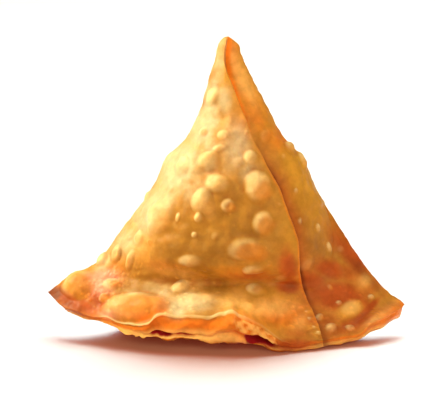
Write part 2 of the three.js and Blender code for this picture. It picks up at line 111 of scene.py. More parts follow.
# The back's middle line: reach, place behind the apex and height.
BACK_LINE = [(0, 0.8, 89), (0.1, 4, 80.5), (0.22, 8.5, 69), (0.38, 14.5, 53), (0.52, 20, 37),
             (0.62, 23, 25), (0.7, 23.5, 14), (0.76, 19.5, 4), (0.81, 12, -4), (0.86, 3, -7),
             (0.91, -7, -4.6), (0.95, -15.5, -0.4), (1, -28.4, 3.5)]
# Along the hem: bearing, then apex to crease, apex to the back layer's rim, how much shorter the front layer
# is, and how far its rim lifts.
CREASE = [(-35, 78.5), (-28.6, 76), (-22, 76.8), (-17.5, 75.8), (-12, 73.9), (0, 72.8), (8, 73.4),
          (19, 76.6), (24.9, 75.2), (33, 78)]
HEM_EDGE = [(-35, 93.6), (-31, 93.6), (-26, 92.2), (-22.4, 90.2), (-18, 90.6), (-13, 88.1), (-8, 87.2),
            (0, 87.9), (6, 88.6), (10, 92), (16, 93.8), (22, 95.5), (26, 96.6), (29, 97.5), (31.5, 97.4),
            (33.6, 95.8)]
HEM_SHORT = [(-35, 0.3), (-23, 0.6), (-19.6, 1.6), (-15.2, 2), (-13.8, 4.5), (-10, 4.9), (-6, 4.8),
             (-3.7, 5.6), (-1.7, 7), (0.8, 8.4), (2.5, 6.8), (4.4, 4.8), (6.3, 3.6), (8, 2.6), (10, 1.3),
             (15, 1.1), (19, 1.1), (24, 1.4), (27.5, 2.8), (31, 2.4), (33.6, 0.5)]
RIM_LIFT = [(-35, 0), (-24, 0.3), (-19, 0.4), (-13.6, 1), (-7, 0.6), (-3, 0.5), (1, 1.6), (5, 1.8),
            (8, 0.8), (16, 0.2), (22, 0.4), (27, 2.6), (31, 2.4), (33.4, 0.8)]
# The slits in the hem's face between its layers: bearing, depth, place between the rims, half height.
HEM_SLITS = [(-35, 0, 0.6, 0.1), (-17, 0.2, 0.6, 0.12), (-15, 0.6, 0.84, 0.05), (-14, 3.4, 0.84, 0.08),
             (-11.6, 3.4, 0.85, 0.08), (-10.6, 1, 0.85, 0.06), (-9.4, 2, 0.86, 0.05),
             (-7.6, 1.6, 0.86, 0.05), (-6, 0.5, 0.8, 0.05), (0.4, 0.8, 0.6, 0.08), (3, 0.8, 0.72, 0.1),
             (3.8, 4, 0.78, 0.16), (6.4, 5, 0.76, 0.2), (8, 3, 0.76, 0.16), (9, 0.5, 0.7, 0.1),
             (20, 0.2, 0.5, 0.1), (33, 0, 0.5, 0.1)]
# Bearing, then how round the face is, how deep the valley above the rim, and how torn the lips are.
HEM_ROUND = [(-35, 0.15), (18, 0.2), (25, 0.5), (33, 0.45)]
VALLEY = [(21, 0), (26, 1.3), (31, 1.3), (33, 0.5)]
HEM_TORN = [(-35, 0.05), (-21, 0.15), (-17, 0.9), (-13, 0.7), (-9, 0.35), (-4, 0.4), (2, 0.4), (9, 0.15),
            (15, 0.08), (33, 0.06)]
# Bearing, then where the hem's face crumbles, and where the rim's edge shows pale, partly as a
# painted highlight.
HEM_CRUMBLY = [(-35, 0), (-14, 0.1), (-4, 0.2), (0, 0.3), (3, 1), (8, 1), (9.5, 0.2), (12, 0.05), (33, 0)]
RIM_PALE = [(-25, 0), (-22, 0.8), (-14, 0.9), (-12, 0.6), (-5, 0.6), (-3, 1), (1, 0.9), (4, 0.3),
            (9, 0.2), (11, 0), (25, 0), (28, 0.25), (31, 0.2), (33, 0)]
# The hem's lips: each one's place between the rims and its half width. Then the valley's and the pale edge's
# reach and half width. The pale edge is partly a painted highlight.
UPPER_LIP = (0.04, 0.06)
LOWER_LIP = (0.93, 0.08)
VALLEY_LINE = (0.965, 0.018)
PALE_LINE = (1.001, 0.0045)
# Over what share of each half the two layers round together at the side edges, and the hem runs out there.
EDGE_ROUNDING = 0.06
HEM_CLOSING = 0.05
CRUMB_LIFT = 1.2
PINCH_DEPTH = 0.4
PINCH_WIDTH = 0.02
RUFFLE = 0.25

# Blisters on the front: across and down from the apex, half width, half height, lift, turn, the dent of its
# top and how far its top browned.
BLISTERS = [
    (9.1, 45.2, 4.8, 5.1, 1.7, 10, 0.15, 0.7), (-2.5, 43.8, 4.5, 3.3, 1.5, 12, 0, 0.1),
    (-7.3, 48.5, 3.7, 4.1, 1.8, 0, 0, 0.2), (0.2, 50.1, 2.4, 2.4, 1.1, 0, 1, 0.8),
    (-5.9, 36.8, 3.8, 3.1, 1.3, -15, 0, 0.1), (6.6, 36.2, 2.5, 2.7, 0.9, 0, 0, 0.1),
    (9.6, 55, 3.4, 4.4, 1.3, 8, 0.1, 0.7), (5, 62.6, 6.2, 4, 1.4, 0, 0.6, 1),
    (7.2, 68.3, 3.8, 2.4, 1, 0, 0, 0.4), (-19.6, 53.5, 5.6, 6.4, 1.2, 8, 0.2, 0.4),
    (-13.2, 38.3, 3.3, 3.3, 0.8, 0, 0, 0.3), (-4.1, 17.9, 2.8, 3, 0.7, 0, 0, 0),
    (-33, 64.4, 2.1, 3.2, 1.5, 10, 0.2, 0.1), (-37.4, 65.8, 2.1, 2.5, 1.4, 0, 0.2, 0.1),
    (-29, 66.5, 1.8, 4, 0.8, 15, 0, 0.5), (-44.8, 73, 5.8, 5.6, 1.9, 0, 0, 1),
    (-26.5, 79.6, 11.2, 5.2, 3.2, 12, 0, 0.85), (-13.1, 73.3, 3.2, 2, 0.9, -8, 0, 0.2),
    (7.9, 74.5, 3.4, 2.2, 0.8, 0, 0, 0.5), (-8.4, 77.3, 7.5, 3.2, 0.6, 0, 0, 0),
    (40.9, 72.4, 3.4, 3.4, 0.4, 0, 0, 0), (37, 80.2, 4.6, 2.6, 0.45, -15, 0, 0),
    (30.4, 85.7, 2.2, 2.3, 1.6, 0, 0, 0.1), (36, 85.8, 1.8, 1.5, 1.2, 0, 0, 0.1),
    (32.8, 78.6, 1.2, 1.1, 0.8, 0, 0, 0), (42.6, 77.1, 1.3, 1.1, 0.9, 0, 0, 0),
    (18.2, 32.7, 2.2, 2.2, 1.3, 0, 0, 0.2), (22.2, 36.6, 2.6, 3.6, 0.9, -20, 0, 0.3),
    (20.5, 45.4, 1.3, 1.4, 0.7, 0, 0, 0), (21.6, 54.6, 0.9, 1.7, 0.7, 10, 0, 0),
    (26.7, 56.4, 1.1, 2, 0.6, 0, 0, 0.2), (29.9, 62.6, 1.1, 1.9, 0.6, -10, 0, 0.2),
    (-19, 36.1, 4, 4.6, 0.6, 20, 0, 0.2), (-33.7, 73.2, 3.2, 2.2, 1, 10, 0, 0.8),
    (-36.6, 77, 2, 1.6, 0.8, 0, 0, 1), (-8.5, 53.5, 1.3, 1.6, 0.8, 0, 0, 0),
    (-14.5, 53.6, 0.9, 1.8, 0.5, 10, 0, 0), (-1.2, 29.4, 2.6, 1.7, 0.6, 0, 0, 0.1),
    (5.3, 28.5, 1.2, 1.2, 0.8, 0, 0, 0), (-2.4, 33.2, 2.4, 1, 0.4, 0, 0, 0),
    (-7.1, 28.2, 2.2, 2, 0.5, 0, 0, 0.6), (14.4, 49.6, 1.9, 1.3, 0.6, 40, 0, 0),
    (-10.4, 65.8, 4.2, 2.2, 0.6, -6, 0, 0.3), (-26.3, 59.5, 2.2, 2.6, 0.7, 0, 0, 0.1),
    (-23.9, 47, 2, 2.4, 0.6, 0, 0, 0), (-9.6, 58.4, 1, 1, 0.5, 0, 0, 0.2),
    (26.3, 87.2, 1.1, 0.9, 0.7, 0, 0, 0.3), (24.9, 85.6, 0.9, 0.8, 0.6, 0, 0, 0.1),
    (22.9, 81.1, 0.9, 0.8, 0.5, 0, 0, 0.1), (23.6, 83.3, 0.8, 0.9, 0.5, 0, 0, 0.1),
    (27.1, 82.6, 1.7, 1.7, 0.8, 0, 0, 0.6), (24.5, 74.9, 1.4, 1, 0.6, 0, 0, 0.2),
]
# How the strewn ones are spread: how many, the front's share, how near the edges they come, the smallest and
# largest half width, how flat or tall they are, how far they turn, the lift as a share of the half width,
# front and back, and how close together they may stand.
STREWN = 150
STREWN_FRONT = 0.3
STREWN_REACH = (0.03, 0.97)
STREWN_ACROSS = (-0.94, 0.94)
STREWN_SIZE = (1.2, 3.2)
STREWN_SQUEEZE = (0.75, 1.15)
STREWN_TURN = (-80, 80)
STREWN_LIFT = (0.12, 0.28)
STREWN_CLEARANCE = 0.95
SEED = 20

# Where fine bubbles crowd the skin: across and down from the apex, radius, density.
CROWDS = [(-36.5, 72, 7, 1), (-30, 71, 5, 0.5), (24.5, 86, 3.5, 1), (20, 82, 5, 0.5), (36, 84, 9, 0.35),
          (-12, 76, 7, 0.3)]
# How thinly they are spread elsewhere, and how far down from the apex they start.
CROWDING_ELSEWHERE = 0.004
CROWDING_START = (8, 16)

# Where the fryer tinted the front, with painted highlight, painted light and painted shade among the tints,
# painted in this order: across and down from the apex, half width, half height, turn and strength. Each one's
# name is that of its colour in the crust's settings.
TINTS = {
    "tan": [
        (-2, 53, 7, 7, 0, 0.7), (8, 50, 6, 8, 0, 0.4), (3, 30, 4.5, 8, 0, 0.65), (19, 50, 4, 8, -20, 0.5),
        (-2, 62, 9, 4, 0, 0.5),
    ],
    "honey": [
        (6.5, 19, 5, 12, -24, 0.9), (22.9, 42.3, 8.2, 12.9, -28, 0.9), (18.2, 58.5, 4.1, 8.8, -8, 0.6),
        (11.8, 80, 9.4, 4.7, 0, 0.9), (39.4, 80.6, 8.8, 2.4, -24, 0.5), (21.2, 86.4, 11.8, 2.4, 0, 0.2),
        (-41.7, 69.4, 6.5, 2.4, -25, 0.6), (-1.8, 68.8, 11.8, 2.4, 0, 0.4),
    ],
    "orange": [
        (1.5, 7.6, 2.1, 8.8, -12, 0.5), (6.5, 21.2, 4.1, 8.2, -24, 0.5), (14.1, 30, 5.3, 4.1, 0, 0.4),
        (2.4, 69.4, 14.7, 2.1, 0, 0.35), (-18.5, 67.6, 8.8, 2.1, 6, 0.4), (-28.2, 81.7, 10, 2.1, 8, 0.9),
        (14.7, 81.1, 7.1, 3.5, 0, 0.8), (5, 84.4, 6, 3, 20, 0.8), (48.2, 82, 5.3, 2.4, -24, 0.8),
        (-34.7, 84.7, 5.9, 1.8, 20, 0.7), (-11.2, 84.1, 12.9, 1.5, 0, 0.9),
        (-37.6, 70.3, 4.7, 1.8, -20, 0.4), (-22.5, 83.2, 5, 2.2, 8, 1), (-20.5, 80, 3.4, 2.8, 0, 1),
        (-33.6, 69, 3.5, 2.4, -20, 0.5),
    ],
    # Russet here is partly browning and partly painted shade: under the belly at the crease, at the seam's
    # foot and under the hem's lip.
    "russet": [
        (37, 65.3, 2.6, 10, -35, 1), (41.7, 74.1, 7.1, 3.5, -30, 0.6), (31.8, 76.4, 8.8, 4.1, 0, 0.9),
        (24.7, 72.3, 4.7, 2.9, 0, 0.8), (18.8, 90.3, 7.1, 1.8, 0, 0.9), (-50.6, 76.4, 3.5, 2.6, 0, 0.6),
        (-42.3, 79.8, 6.2, 2.4, 15, 0.9), (-46.5, 78.8, 6.5, 2.6, 25, 1), (33.2, 57.6, 1.6, 6, -30, 0.6),
        (35.9, 85.3, 10, 2.4, -18, 0.6), (30.4, 68.8, 4.7, 2.6, 20, 1), (27.6, 83.5, 8.8, 2.4, 0, 0.5),
        (41.5, 80.6, 5.5, 1, -40, 1), (36.3, 69.6, 6, 4, 0, 0.6), (7, 70.6, 11, 1.5, 0, 0.5),
        (17.4, 68.5, 2.8, 6.5, -5, 0.8), (17.8, 73.4, 3, 2.2, 0, 1), (-38.2, 77.2, 3.4, 3.8, -10, 1),
        (21, 87, 5, 2.2, 0, 0.5), (-23, 83.6, 4, 1.8, 8, 0.45), (-20.5, 80.5, 3, 2.4, 0, 0.3),
        (-1.5, 90.5, 6, 1.4, 0, 0.6), (48.8, 84, 3, 2, -30, 0.5), (40.4, 79, 2.4, 2, -20, 0.6),
    ],
    # Umber here is partly near-burnt edges and partly painted shadow: in the valley inside the right rim and
    # in the fold beside the seam.
    "umber": [
        (-52.5, 76.6, 3, 2.4, 0, 0.9), (-38.4, 77, 2.6, 3, -10, 0.5), (25.6, 62.7, 5, 6, 0, 0.3),
        (-46.5, 79.6, 5.5, 1.8, 25, 0.6), (18.6, 73.4, 1.8, 1.6, 0, 0.4), (39.6, 69.4, 1.4, 7, -42, 0.6),
        (19.8, 56.6, 1.6, 4, -12, 0.3),
    ],
    "gilt": [
        (40.6, 72.4, 2.8, 3, 0, 0.45), (36, 80.6, 3, 1.6, -18, 1),
    ],
    "pink": [
        (-37.2, 72.2, 5.2, 3.2, -10, 1), (-35.2, 82, 3.4, 1.4, 12, 0.8), (2, 30, 3.6, 8, 0, 0.35),
        (3.5, 90.6, 2.4, 0.9, 0, 1),
    ],
    # Amber here is partly light dough and partly painted light that lifts the shade in the crease below the
    # belly's left.
    "amber": [
        (4.5, 13, 2.2, 9, -24, 0.6), (45.6, 81.8, 7, 1.1, -33, 0.4), (12, 79.5, 7, 2.6, 0, 0.7),
        (3, 77.6, 6, 2.8, 0, 0.4), (-15, 77, 3, 2.4, 0, 0.2), (47.6, 83.6, 4, 2.2, -40, 0.15),
        (21, 83.5, 2.4, 3, 20, 0.3), (-10.4, 36, 5, 8, 25, 0.3), (-1, 27, 4, 4.5, 0, 0.35),
        (-27, 62, 4, 5, 30, 0.35), (-8.5, 73.2, 5, 2, 0, 0.5), (-19.5, 72.6, 3.5, 1.8, 8, 0.5),
        (-17, 69.3, 6, 2.2, 8, 0.5), (-6.5, 76.2, 4, 1.8, 0, 0.6), (-5.6, 51, 2.5, 2.5, 0, 0.4),
    ],
    # Cream here is partly dough that stayed pale and partly painted highlight along the lit left edge and on
    # the flange's top.
    "cream": [
        (-3.2, 8.5, 2.4, 9, 12, 0.45), (-5.2, 17.5, 2.2, 5, 15, 0.8), (-1.4, 19, 2.6, 3.6, 0, 0.8),
        (-7.1, 25.3, 3.5, 7.1, 20, 1), (-14.7, 38.2, 5.9, 7.6, 35, 0.85),
        (-22.3, 50.6, 4.4, 7.6, 38, 0.8), (-30.4, 60.2, 4.1, 5.3, 40, 0.6), (-11, 78, 8, 2.7, 0, 0.75),
        (-20.6, 74.7, 6.5, 2.4, 8, 0.6), (-27, 76, 6.5, 1.8, 8, 0.6), (-14.8, 79.6, 2.6, 2.4, 0, 1),
        (5.5, 40.5, 3, 3, 0, 0.5), (-5.4, 37.5, 2.6, 4, 0, 0.45), (-9.6, 45.6, 3.8, 4.1, 0, 0.5),
        (1.8, 33, 4, 8, 0, 0.5), (-5.5, 33.2, 2.6, 3, 0, 0.5), (-37.5, 65.5, 2.8, 2.4, 30, 0.7),
    ],
}

# The fine mesh: its rows, how far they crowd towards the hem, the columns before and after each lap, and the
# steps between the hem's rims.
ROWS = 236
HEM_CROWDING = 0.35
FRONT_COLUMNS = (170, 60)
BACK_COLUMNS = (56, 56)
HEM_STEPS = 22
FIRST_REACH = 0.012
# The columns around the flap's edge, how far that edge bulges as a share of the flap's thickness, and how
# loose it is for the blisters.
EDGE_COLUMNS = 6
EDGE_BULGE = 0.28
EDGE_LOOSENESS = 0.8

DOWN = np.array([0, -math.sin(LEAN), -math.cos(LEAN)])
OUT = np.array([0, -math.cos(LEAN), math.sin(LEAN)])
APEX = np.array([0, 0, HEIGHT])


def follow(stops, at, column=1):
    """A smooth curve through a profile's stops, flat where it turns."""
    places = np.array([stop[0] for stop in stops], float)
    values = np.array([stop[column] for stop in stops], float)
    rises = np.diff(values) / np.diff(places)
    before, after = rises[:-1], rises[1:]
    slopes = np.concatenate([rises[:1], np.zeros(len(rises) - 1), rises[-1:]])
    same_way = before * after > 0
    slopes[1:-1][same_way] = (2 * before * after)[same_way] / (before + after)[same_way]
    at = np.clip(at, places[0], places[-1])
    span = np.clip(np.searchsorted(places, at, side="right") - 1, 0, len(rises) - 1)
    width = np.diff(places)[span]
    t = (at - places[span]) / width
    start_share = (1 + 2 * t) * (1 - t) ** 2
    return (start_share * values[span] + (1 - start_share) * values[span + 1]
            + width * (t * (1 - t) ** 2 * slopes[span] - t * t * (1 - t) * slopes[span + 1]))


def mix(start, end, share):
    """A value between two others."""
    return start + (end - start) * share


def ease(at, low, high):
    """A smooth step from 0 at low to 1 at high."""
    share = np.clip((at - low) / (high - low), 0, 1)
    return share * share * (3 - 2 * share)


def draws(seed):
    """A repeatable draw from 0 to 1."""
    state = seed
    while True:
        state = (state * 1664525 + 1013904223) % 4294967296
        yield state / 4294967296


def bump(at, place, half_width):
    """One at a place, falling away to nothing around it."""
    return np.exp(-((at - place) / half_width) ** 2)


def closing(across, width):
    """One in the middle, rounding off to nothing over a width at the side edges."""
    return np.sqrt(np.clip((1 - np.abs(across)) / width, 0, 1))


def bearing_of(reach, across):
    """The bearing of a place that runs from -1 at the left edge to 1 at the right."""
    return mix(follow(LEFT_SIDE, reach), follow(RIGHT_SIDE, reach), (across + 1) / 2)


def across_of(reach, bearing):
    """The other way round: the place between the edges of a bearing."""
    left = follow(LEFT_SIDE, reach)
    return 2 * (bearing - left) / (follow(RIGHT_SIDE, reach) - left) - 1


def ragged(bearing):
    """The torn unevenness of the hem's edges."""
    return 0.3 * np.sin(0.57 * bearing + 1) + 0.2 * np.sin(1.13 * bearing)


def ragged_back(bearing):
    """The same for the back layer, which tore elsewhere."""
    return 0.3 * np.sin(0.71 * bearing + 4) + 0.2 * np.sin(1.6 * bearing + 1)


def torn(bearing):
    """The fine tearing of the thin lips, from 0 to 1."""
    wave = (np.sin(2.9 * bearing + 1) * np.sin(1.1 * bearing)
            + 0.6 * np.sin(5.3 * bearing) * np.sin(0.53 * bearing + 2))
    return np.clip(0.5 + 0.6 * wave, 0, 1)


def ruffled(bearing):
    """How the rim rises and falls between the fingertips that pinched it."""
    return RUFFLE * (0.6 * np.sin(0.9 * bearing + 0.6) * np.sin(0.37 * bearing + 1)
                     + 0.5 * np.sin(2.1 * bearing) * np.sin(0.23 * bearing + 2))


def rim_reach(bearing):
    """Apex to the front layer's rim."""
    return follow(HEM_EDGE, bearing) - follow(HEM_SHORT, bearing) + ragged(bearing)


def length_at(reach, bearing):
    """Distance from the apex: the crease above the hem has a reach of its own."""
    crease = follow(CREASE, bearing)
    past = np.clip((reach - CREASE_SHARE) / (1 - CREASE_SHARE), 0, 1)
    return np.minimum(reach / CREASE_SHARE, 1) * mix(crease, rim_reach(bearing), past)


def roundness(reach, across):
    """How far a panel stands off the sheet, as a share of its middle: nothing on the flat side fins."""
    fin = np.where(across < 0, follow(LEFT_FIN, reach), follow(RIGHT_FIN, reach))
    power = follow(ROUND_POWER, reach)
    inside = np.maximum(0, 1 - np.minimum(1, np.abs(across) / fin) ** power)
    return inside ** mix(0.5, 0.9, ease(reach, 0.55, 0.74))


def edge_round(reach, across):
    """Rounds the two layers together where they meet at the side edges."""
    return closing(across, EDGE_ROUNDING) * ease(reach, 0.5, 0.75)


def fan_point(length, bearing, out):
    """The place at a distance and bearing from the apex, moved out from the fan's plane."""
    angle = np.radians(bearing)
    sideways = (length * np.sin(angle))[..., None] * np.array([1.0, 0, 0])
    return APEX + sideways + (length * np.cos(angle))[..., None] * DOWN + np.asarray(out)[..., None] * OUT


def sheet_point(length, reach, across):
    """The sheet that both panels leave from: the side edges, joined across and bowed forward near the hem."""
    bow = BOW * follow(BOW_SHARE, reach) * (1 - across * across)
    return fan_point(length, bearing_of(reach, across), bow - SIDE_DROP * reach)


def front_point(reach, across):
    """The front panel, swollen off the sheet and lifted at its rim."""
    bearing = bearing_of(reach, across)
    proud = follow(FRONT_SWELL, reach) + SIDE_DROP * reach - BOW * follow(BOW_SHARE, reach)
    lift = proud * roundness(reach, across)
    lift = lift + LAYER * edge_round(reach, across) * (1 - roundness(reach, across))
    corner = np.minimum(1, (1 - np.abs(across)) / HEM_CLOSING)
    lift = lift + follow(RIM_LIFT, bearing) * ease(reach, 0.95, 1) * corner
    return sheet_point(length_at(reach, bearing), reach, across) + lift[..., None] * OUT


def back_point(reach, across):
    """The back panel, which comes down behind and then forward as the base, to the back layer's rim."""
    def full_length(where):
        """Distance from the apex, drawn out near the rim to where the back layer ends."""
        bearing = bearing_of(reach, where)
        short = follow(HEM_SHORT, bearing) + ragged_back(bearing) - ragged(bearing)
        return length_at(reach, bearing) + ease(reach, 0.8, 1) * short * closing(where, HEM_CLOSING)

    middle = sheet_point(full_length(0 * across), reach, 0 * across)
    line = np.stack([middle[..., 0], follow(BACK_LINE, reach), follow(BACK_LINE, reach, 2)], -1)
    share = roundness(reach, across)
    under = LAYER * edge_round(reach, across) * (1 - share)
    return (sheet_point(full_length(across), reach, across) + share[..., None] * (line - middle)
            - under[..., None] * OUT)


def outward(panel, sign, reach, across):
    """The way a panel faces, from its slopes."""
    step = 0.004
    low = np.clip(reach, 0.02, 1 - step)
    side = np.clip(across, -0.995, 0.995 - step)
    here = panel(low, side)
    facing = np.cross(panel(low + step, side) - here, panel(low, side + step) - here)
    return sign * facing / np.linalg.norm(facing, axis=-1, keepdims=True)


class Panel:
    """One side of the cone, with the lap that crosses it."""

    def __init__(self, point, sign, lap, columns):
        self.point = point
        self.sign = sign
        self.path, self.lift, self.hollow, self.undercut, self.fade = lap
        self.columns = columns

    def facing(self, reach, across):
        """The way each place of the panel faces."""
        return outward(self.point, self.sign, reach, across)

    def lap_columns(self, reach):
        """Every column at each reach: the flap, its edge, the slit under it and the layer below.

        Gives each one's across and raise, its looseness, which is the share of the blisters' lift that it
        takes, and its gap, which is the distance from the flap's edge.
        """
        reach = reach[:, None]
        edge = across_of(reach, follow(self.path, reach))
        spread = np.radians(bearing_of(reach, 1) - bearing_of(reach, -1))
        half_width = np.maximum(1, reach * HEM_REACH * spread) / 2
        lift, hollow = follow(self.lift, reach), follow(self.hollow, reach)
        lip = lift - np.minimum(FLAP, 0.6 * (lift + hollow))
        before, after = self.columns

        share = bunch(np.linspace(0, 1, before + 1))
        over = mix(-1, edge, share)
        over_gap = (edge - over) * half_width
        over_raise = lift * np.exp(-over_gap / self.fade[0])

        turn = np.linspace(90, -90, EDGE_COLUMNS)[1:]
        nose_reach = EDGE_BULGE * (lift - lip) * ease(reach, 0.02, 0.2)
        nose = edge + nose_reach * np.cos(np.radians(turn)) / half_width
        nose_raise = (lift + lip) / 2 + (lift - lip) / 2 * np.sin(np.radians(turn))

        slit = edge - self.undercut * ease(reach, 0, 0.2) / half_width - 0.004
        slit_raise = (lip - hollow) / 2 + 0 * slit

        share = bunch(1 - np.linspace(0, 1, after + 1))
        under = mix(1, edge, share)
        under_gap = (under - edge) * half_width
        under_raise = -hollow * (1 - ease(under_gap, -0.3 * self.fade[1], self.fade[1]))

        across = np.concatenate([over, nose, slit, under], 1)
        height = np.concatenate([over_raise, nose_raise, slit_raise, under_raise], 1)
        loose = np.ones_like(across)
        loose[:, before + 1:before + 2 + nose.shape[1]] = EDGE_LOOSENESS
        gap = np.concatenate([over_gap, 0 * nose, 0 * slit, -under_gap], 1)
        return across, height, loose, gap


def bunch(share):
    """Draws columns closer together near the side edges, where the skin turns fastest."""
    return mix(share, 1 - np.cos(share * math.pi / 2), 0.6)


SEAM = (SEAM_PATH, SEAM_LIFT, SEAM_HOLLOW, SEAM_UNDERCUT, SEAM_FADE)
PLEAT = (PLEAT_PATH, PLEAT_LIFT, PLEAT_HOLLOW, PLEAT_UNDERCUT, PLEAT_FADE)
FRONT = Panel(front_point, 1, SEAM, FRONT_COLUMNS)
BACK = Panel(back_point, -1, PLEAT, BACK_COLUMNS)


def blister_at(panel, reach, across, half_width, half_height, lift, turn, dent, browned):
    """A blister's place on the crust: its centre, the way it faces, its own axes and its sizes."""
    reach, across = np.array(float(reach)), np.array(float(across))
    centre = panel.point(reach, across)
    facing = panel.facing(reach, across)
    angle = math.radians(turn)
    wide = np.array([math.cos(angle), 0, 0]) + math.sin(angle) * DOWN
    wide = wide - wide.dot(facing) * facing
    wide = wide / np.linalg.norm(wide)
    return {"centre": centre, "facing": facing, "wide": wide, "tall": np.cross(facing, wide),
            "half_width": half_width, "half_height": half_height, "lift": lift, "dent": dent,
            "browned": browned}


def all_blisters():
    """The placed blisters, then smaller ones strewn by a seeded rule and kept clear of those before them."""
    kept = []
    for sideways, down, *shape in BLISTERS:
        bearing = math.degrees(math.atan2(sideways, down))
        length = math.hypot(sideways, down)
        reach = reach_of(length, bearing)
        kept.append(blister_at(FRONT, reach, across_of(reach, bearing), *shape))
    draw, shade = draws(SEED), draws(SEED + 1)
    for _ in range(STREWN):
        panel, share = (FRONT, STREWN_LIFT[0]) if next(draw) < STREWN_FRONT else (BACK, STREWN_LIFT[1])
        reach = math.sqrt(mix(*STREWN_REACH, next(draw)))
        across = mix(*STREWN_ACROSS, next(draw))
        size = mix(*STREWN_SIZE, next(draw) ** 2)
        squeeze = mix(*STREWN_SQUEEZE, next(draw))
        turn = mix(*STREWN_TURN, next(draw))
        made = blister_at(panel, reach, across, size, size * squeeze, size * share, turn, 0, next(shade))
        if all(stands_clear(made, other) for other in kept):
            kept.append(made)
    return kept


def stands_clear(small, other):
    """Whether a strewn blister keeps its distance from another."""
    apart = np.linalg.norm(other["centre"] - small["centre"])
    room = small["half_width"] + max(other["half_width"], other["half_height"])
    return apart > STREWN_CLEARANCE * room


def reach_of(length, bearing):
    """The reach of a place whose distance from the apex is known."""
    crease = float(follow(CREASE, bearing))
    if length < crease:
        return CREASE_SHARE * length / crease
    past = (length - crease) / (float(rim_reach(bearing)) - crease)
    return min(1.0, CREASE_SHARE + (1 - CREASE_SHARE) * past)


def unevenness(place):
    """The slow unevenness of hand-rolled dough."""
    x, y, z = place[..., 0], place[..., 1], place[..., 2]
    return (0.5 * np.sin(0.19 * x + 0.11 * z + 1.3) * np.sin(0.16 * z - 0.13 * y + 0.4)
            + 0.35 * np.sin(0.41 * x - 0.23 * y + 2.1) * np.sin(0.37 * z + 0.8)
            + 0.1 * np.sin(0.83 * x + 0.6 * z + 0.7) * np.sin(0.71 * z - 0.5 * x + 0.4 * y))


def pinch(reach):
    """The groove that the thumb presses along the crease."""
    return -PINCH_DEPTH * bump(reach, CREASE_SHARE, PINCH_WIDTH)


def settle(place):
    """Presses what is below the floor into a flat spot with a soft edge."""
    z = place[..., 2]
    soft = (z + FLAT_SOFTNESS) ** 2 / (4 * FLAT_SOFTNESS)
    place[..., 2] = np.where(z < -FLAT_SOFTNESS, 0, np.where(z < FLAT_SOFTNESS, soft, z))
    return place


def crust_grid(panel, reach):
    """Places and named values for one panel, a row for each reach."""
    across, height, loose, gap = panel.lap_columns(reach)
    reach = np.broadcast_to(reach[:, None], across.shape)
    place = panel.point(reach, across)
    facing = panel.facing(reach, across)
    share = roundness(reach, across)
    rough = unevenness(place) * np.clip(reach / 0.05, 0, 1) * share ** 0.5
    if panel is FRONT:
        bearing = bearing_of(reach, across)
        rough = rough + pinch(reach) * share + ruffled(bearing) * ease(reach, 0.97, 1) * ease(share, 0, 0.3)
        rough = rough - follow(VALLEY, bearing) * bump(reach, *VALLEY_LINE)
    place = settle(place + (height * share + rough * loose)[..., None] * facing)
    rim = pale_lit_rim(reach, bearing_of(reach, across)) * (panel is FRONT)
    return place, {"facing": facing, "loose": loose, "reach": reach, "across": across, "gap": gap,
                   "cavity": 0 * reach, "crumbly": 0 * reach, "rim": rim}


def pale_lit_rim(reach, bearing):
    """How pale the front rim's thin edge is, partly as a painted highlight, from 0 to 1."""
    return bump(reach, *PALE_LINE) * follow(RIM_PALE, bearing)


def crumbs(place):
    """The lumps of a torn layer, from 0 to 1."""
    x, z = place[..., 0], place[..., 2]
    wave = (np.sin(1.7 * x + 0.7 * np.sin(1.1 * z)) * np.sin(1.9 * z + 0.7 * np.sin(1.1 * x + 1))
            + 0.3 * np.sin(2.9 * x + 2 * z) * np.sin(3.1 * z - 1.4 * x + 2))
    return np.clip(0.5 + 0.6 * wave, 0, 1)


def hem_face(share, bearing):
    """The hem's face: how far it stands forward of a line between its rims and reaches out, and its state."""
    depth, middle, half = (follow(HEM_SLITS, bearing, column) for column in (1, 2, 3))
    short = follow(HEM_SHORT, bearing)
    upper_lip, lower_lip = bump(share, *UPPER_LIP), bump(share, *LOWER_LIP)
    wavy = 0.3 * np.sin(0.8 * bearing + 5 * share) * np.sin(math.pi * share)
    cavity = np.exp(-((share - middle) / half) ** 4)
    slit = depth * cavity
    crumbly = follow(HEM_CRUMBLY, bearing) * ease(share, 0.02, 0.15) * ease(share, 0.66, 0.5)
    forward = (np.minimum(1, short / 3) * (0.5 * upper_lip + 0.4 * lower_lip + wavy)
               + follow(HEM_ROUND, bearing) * short * np.sin(math.pi * share) - slit)
    out = follow(HEM_TORN, bearing) * (0.5 * upper_lip * torn(bearing) + 0.9 * lower_lip * torn(bearing + 40))
    return forward, out, {"cavity": np.clip(slit / 3, 0, 1), "crumbly": crumbly,
                          "rim": pale_lit_rim(1 + 0.1 * share, bearing)}


